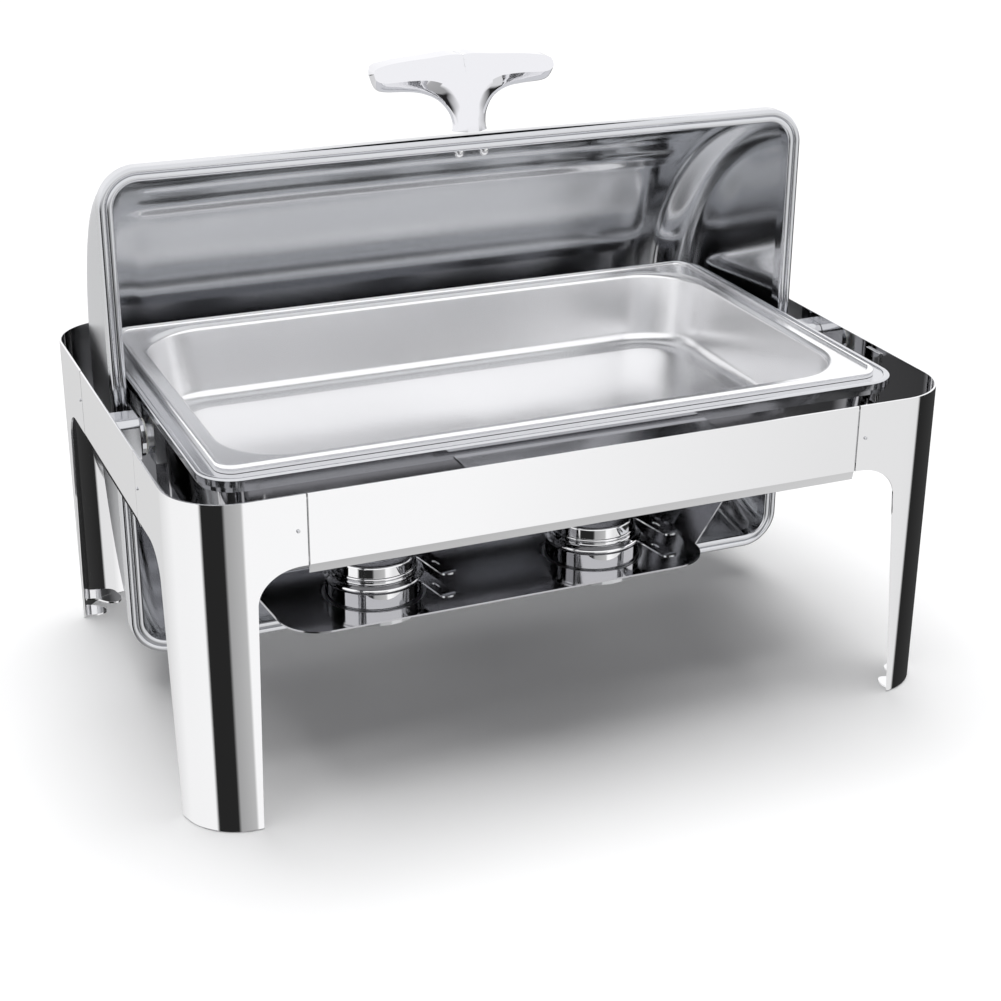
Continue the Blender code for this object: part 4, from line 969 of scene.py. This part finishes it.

# %% [markdown]
# ## Pieces kept from the frame
# The cradle, ledge, lid arms, bushes, seats and screws have their real shape already. They get the finish of
# their metal, and the cradle, ledge, lid arms and screws a hair of softened edge.

# %% Finish the kept pieces
KEPT = {
    "pan_cradle": RIM_STEEL,
    # The ledge takes the steel painted darker as painted shade.
    "lid_rest_ledge": SHADE_PAINTED_MIRROR,
    "lid_arm_left": RIM_STEEL,
    "lid_arm_right": RIM_STEEL,
    "burner_seat_left": SATIN,
    "burner_seat_right": SATIN,
    "shaft_lock_screw_left": SATIN,
    "shaft_lock_screw_right": SATIN,
    "hinge_bush_left": ACETAL,
    "hinge_bush_right": ACETAL,
}
for hand in ("left", "right"):
    for level in ("lower", "upper"):
        KEPT[f"arm_rivet_{hand}_{level}"] = RIM_STEEL
for node, finish in KEPT.items():
    kept = frame["nodes"][node]
    kept.data.materials.clear()
    kept.data.materials.append(finish)
    if node.startswith(("pan_cradle", "lid_rest", "lid_arm", "shaft_lock")):
        soft = kept.modifiers.new("edge", "BEVEL")
        soft.width = 0.0003
        soft.segments = 2
        soft.limit_method = "ANGLE"
        soft.angle_limit = math.radians(40)
print("kept", len(KEPT), "pieces from the frame")

# %% [markdown]
# ## Floor, studio and camera
# Polished steel has no look of its own: it shows the studio. For reflections the sky has pale walls, a
# white ceiling and two dark gaps, one from behind the viewer round to the left and one on the right, which
# draw the crisp black bands down the bent corners. The floor is lit by an even grey, and the backdrop is
# plain white.

# %% Make the floor
HALF_FLOOR, FLOOR_Z = 14, -0.0001
floor_corners = [(a * HALF_FLOOR, b * HALF_FLOOR, FLOOR_Z) for a, b in ((-1, -1), (1, -1), (1, 1), (-1, 1))]
floor_mesh = bpy.data.meshes.new("studio_floor")
floor_mesh.from_pydata(floor_corners, [], [(0, 1, 2, 3)])
floor = bpy.data.objects.new("studio_floor", floor_mesh)
bpy.context.scene.collection.objects.link(floor)
floor_finish, floor_tree, floor_shader = new_finish("matt_white_sweep", "#F7F7F7", 0.9, 0.0)
floor_shader.inputs["Specular IOR Level"].default_value = 0.0
floor.data.materials.append(floor_finish)
floor.visible_glossy = False
print("floor", 2 * HALF_FLOOR, "m across")

# %% The reflected walls
world = bpy.data.worlds.new("soft_studio")
bpy.context.scene.world = world
world.use_nodes = True
sky = world.node_tree
sky.nodes.clear()
towards = add_node(sky, "ShaderNodeTexCoord").outputs["Generated"]
axes = add_node(sky, "ShaderNodeSeparateXYZ", {}, {"Vector": towards})
heading = add_node(sky, "ShaderNodeMath", {"operation": "ARCTAN2"},
                   {0: axes.outputs["X"], 1: axes.outputs["Y"]})
turn = add_node(sky, "ShaderNodeMapRange", {"From Min": -math.pi, "From Max": math.pi},
                {"Value": heading.outputs["Value"]})
walls = add_node(sky, "ShaderNodeValToRGB", {}, {"Fac": turn.outputs["Result"]})


def heading_stop(degrees):
    """Place on the ramp of a heading, clockwise from the back seen from above."""
    return ((degrees + 180) % 360) / 360


# (heading in degrees, brightness), clockwise from the back. The viewer stands at about -157.
WALLS = [(-180, 0.45), (-163, 0.38), (-158, 0.02), (-122, 0.02), (-117, 0.97), (-60, 0.95), (-20, 0.75),
         (10, 0.50), (36, 0.05), (117, 0.02), (122, 0.80), (146, 0.82), (158, 1.0), (166, 1.0),
         (170, 0.50), (179.9, 0.45)]
ramp = walls.color_ramp
ramp.interpolation = "LINEAR"
while len(ramp.elements) > 1:
    ramp.elements.remove(ramp.elements[-1])
for number, (degrees, level) in enumerate(WALLS):
    stop = ramp.elements[0] if number == 0 else ramp.elements.new(heading_stop(degrees))
    stop.position = heading_stop(degrees)
    stop.color = (level, level, level, 1.0)
print("studio walls with", len(ramp.elements), "stops")

# %% The rest of the sky
ceiling = add_node(sky, "ShaderNodeMapRange", {"From Min": -0.26, "From Max": 0.06},
                   {"Value": axes.outputs["Z"]})
lofty = add_node(sky, "ShaderNodeMix", {"data_type": "RGBA", 7: (1.06, 1.06, 1.07, 1.0)},
                 {0: ceiling.outputs["Result"], 6: walls.outputs["Color"]})
pit = add_node(sky, "ShaderNodeMapRange", {"From Min": -0.62, "From Max": -0.9},
               {"Value": axes.outputs["Z"]})
reflected = add_node(sky, "ShaderNodeMix", {"data_type": "RGBA", 7: (0.35, 0.35, 0.35, 1.0)},
                     {0: pit.outputs["Result"], 6: lofty.outputs[2]})
brighter = add_node(sky, "ShaderNodeVectorMath", {"operation": "SCALE", "Scale": 1.14},
                    {0: reflected.outputs[2]})
rays = add_node(sky, "ShaderNodeLightPath")
seen = add_node(sky, "ShaderNodeMix", {"data_type": "RGBA", 6: (0.30, 0.30, 0.305, 1.0)},
                {0: rays.outputs["Is Glossy Ray"], 7: brighter.outputs["Vector"]})
backdrop = add_node(sky, "ShaderNodeMix", {"data_type": "RGBA", 7: (1.0, 1.0, 1.0, 1.0)},
                    {0: rays.outputs["Is Camera Ray"], 6: seen.outputs[2]})
glow = add_node(sky, "ShaderNodeBackground", {"Strength": 1.0}, {"Color": backdrop.outputs[2]})
add_node(sky, "ShaderNodeOutputWorld", {}, {"Surface": glow.outputs["Background"]})
print("sky of", len(sky.nodes), "nodes")

# %% A wide soft light from above
lamp_data = bpy.data.lights.new("overhead_scrim", "SUN")
lamp_data.energy = 2.75
lamp_data.angle = math.radians(50)
lamp = bpy.data.objects.new("overhead_scrim", lamp_data)
lamp.rotation_euler = Vector((-0.02, -0.14, -1.0)).to_track_quat("-Z", "Y").to_euler()
lamp.visible_glossy = False
bpy.context.scene.collection.objects.link(lamp)
print("overhead light", round(math.degrees(lamp_data.angle)), "degrees wide")

# %% [markdown]
# ## The camera
# A long lens from the front left, a little above the pans, shows the food pan's floor and the open lid.
# Depth of field stays off, because a catalogue picture is sharp from front to back.

# %% Set the camera
CAMERA_PLACE = (-0.56786, -1.35500, 0.76944)
YAW, PITCH, ROLL = 23.226, 23.550, 0.363
camera_data = bpy.data.cameras.new("studio_camera")
camera_data.sensor_width = 36.0
camera_data.lens = 69.73
camera = bpy.data.objects.new("studio_camera", camera_data)
stand_point = Matrix.Translation(CAMERA_PLACE)
turned = Matrix.Rotation(math.radians(-YAW), 4, "Z") @ Matrix.Rotation(math.radians(90 - PITCH), 4, "X")
camera.matrix_world = stand_point @ turned @ Matrix.Rotation(math.radians(ROLL), 4, "Z")
bpy.context.scene.collection.objects.link(camera)
bpy.context.scene.camera = camera
bpy.context.scene.view_settings.view_transform = "Standard"
bpy.context.scene.view_settings.look = "None"
print("camera at", CAMERA_PLACE)
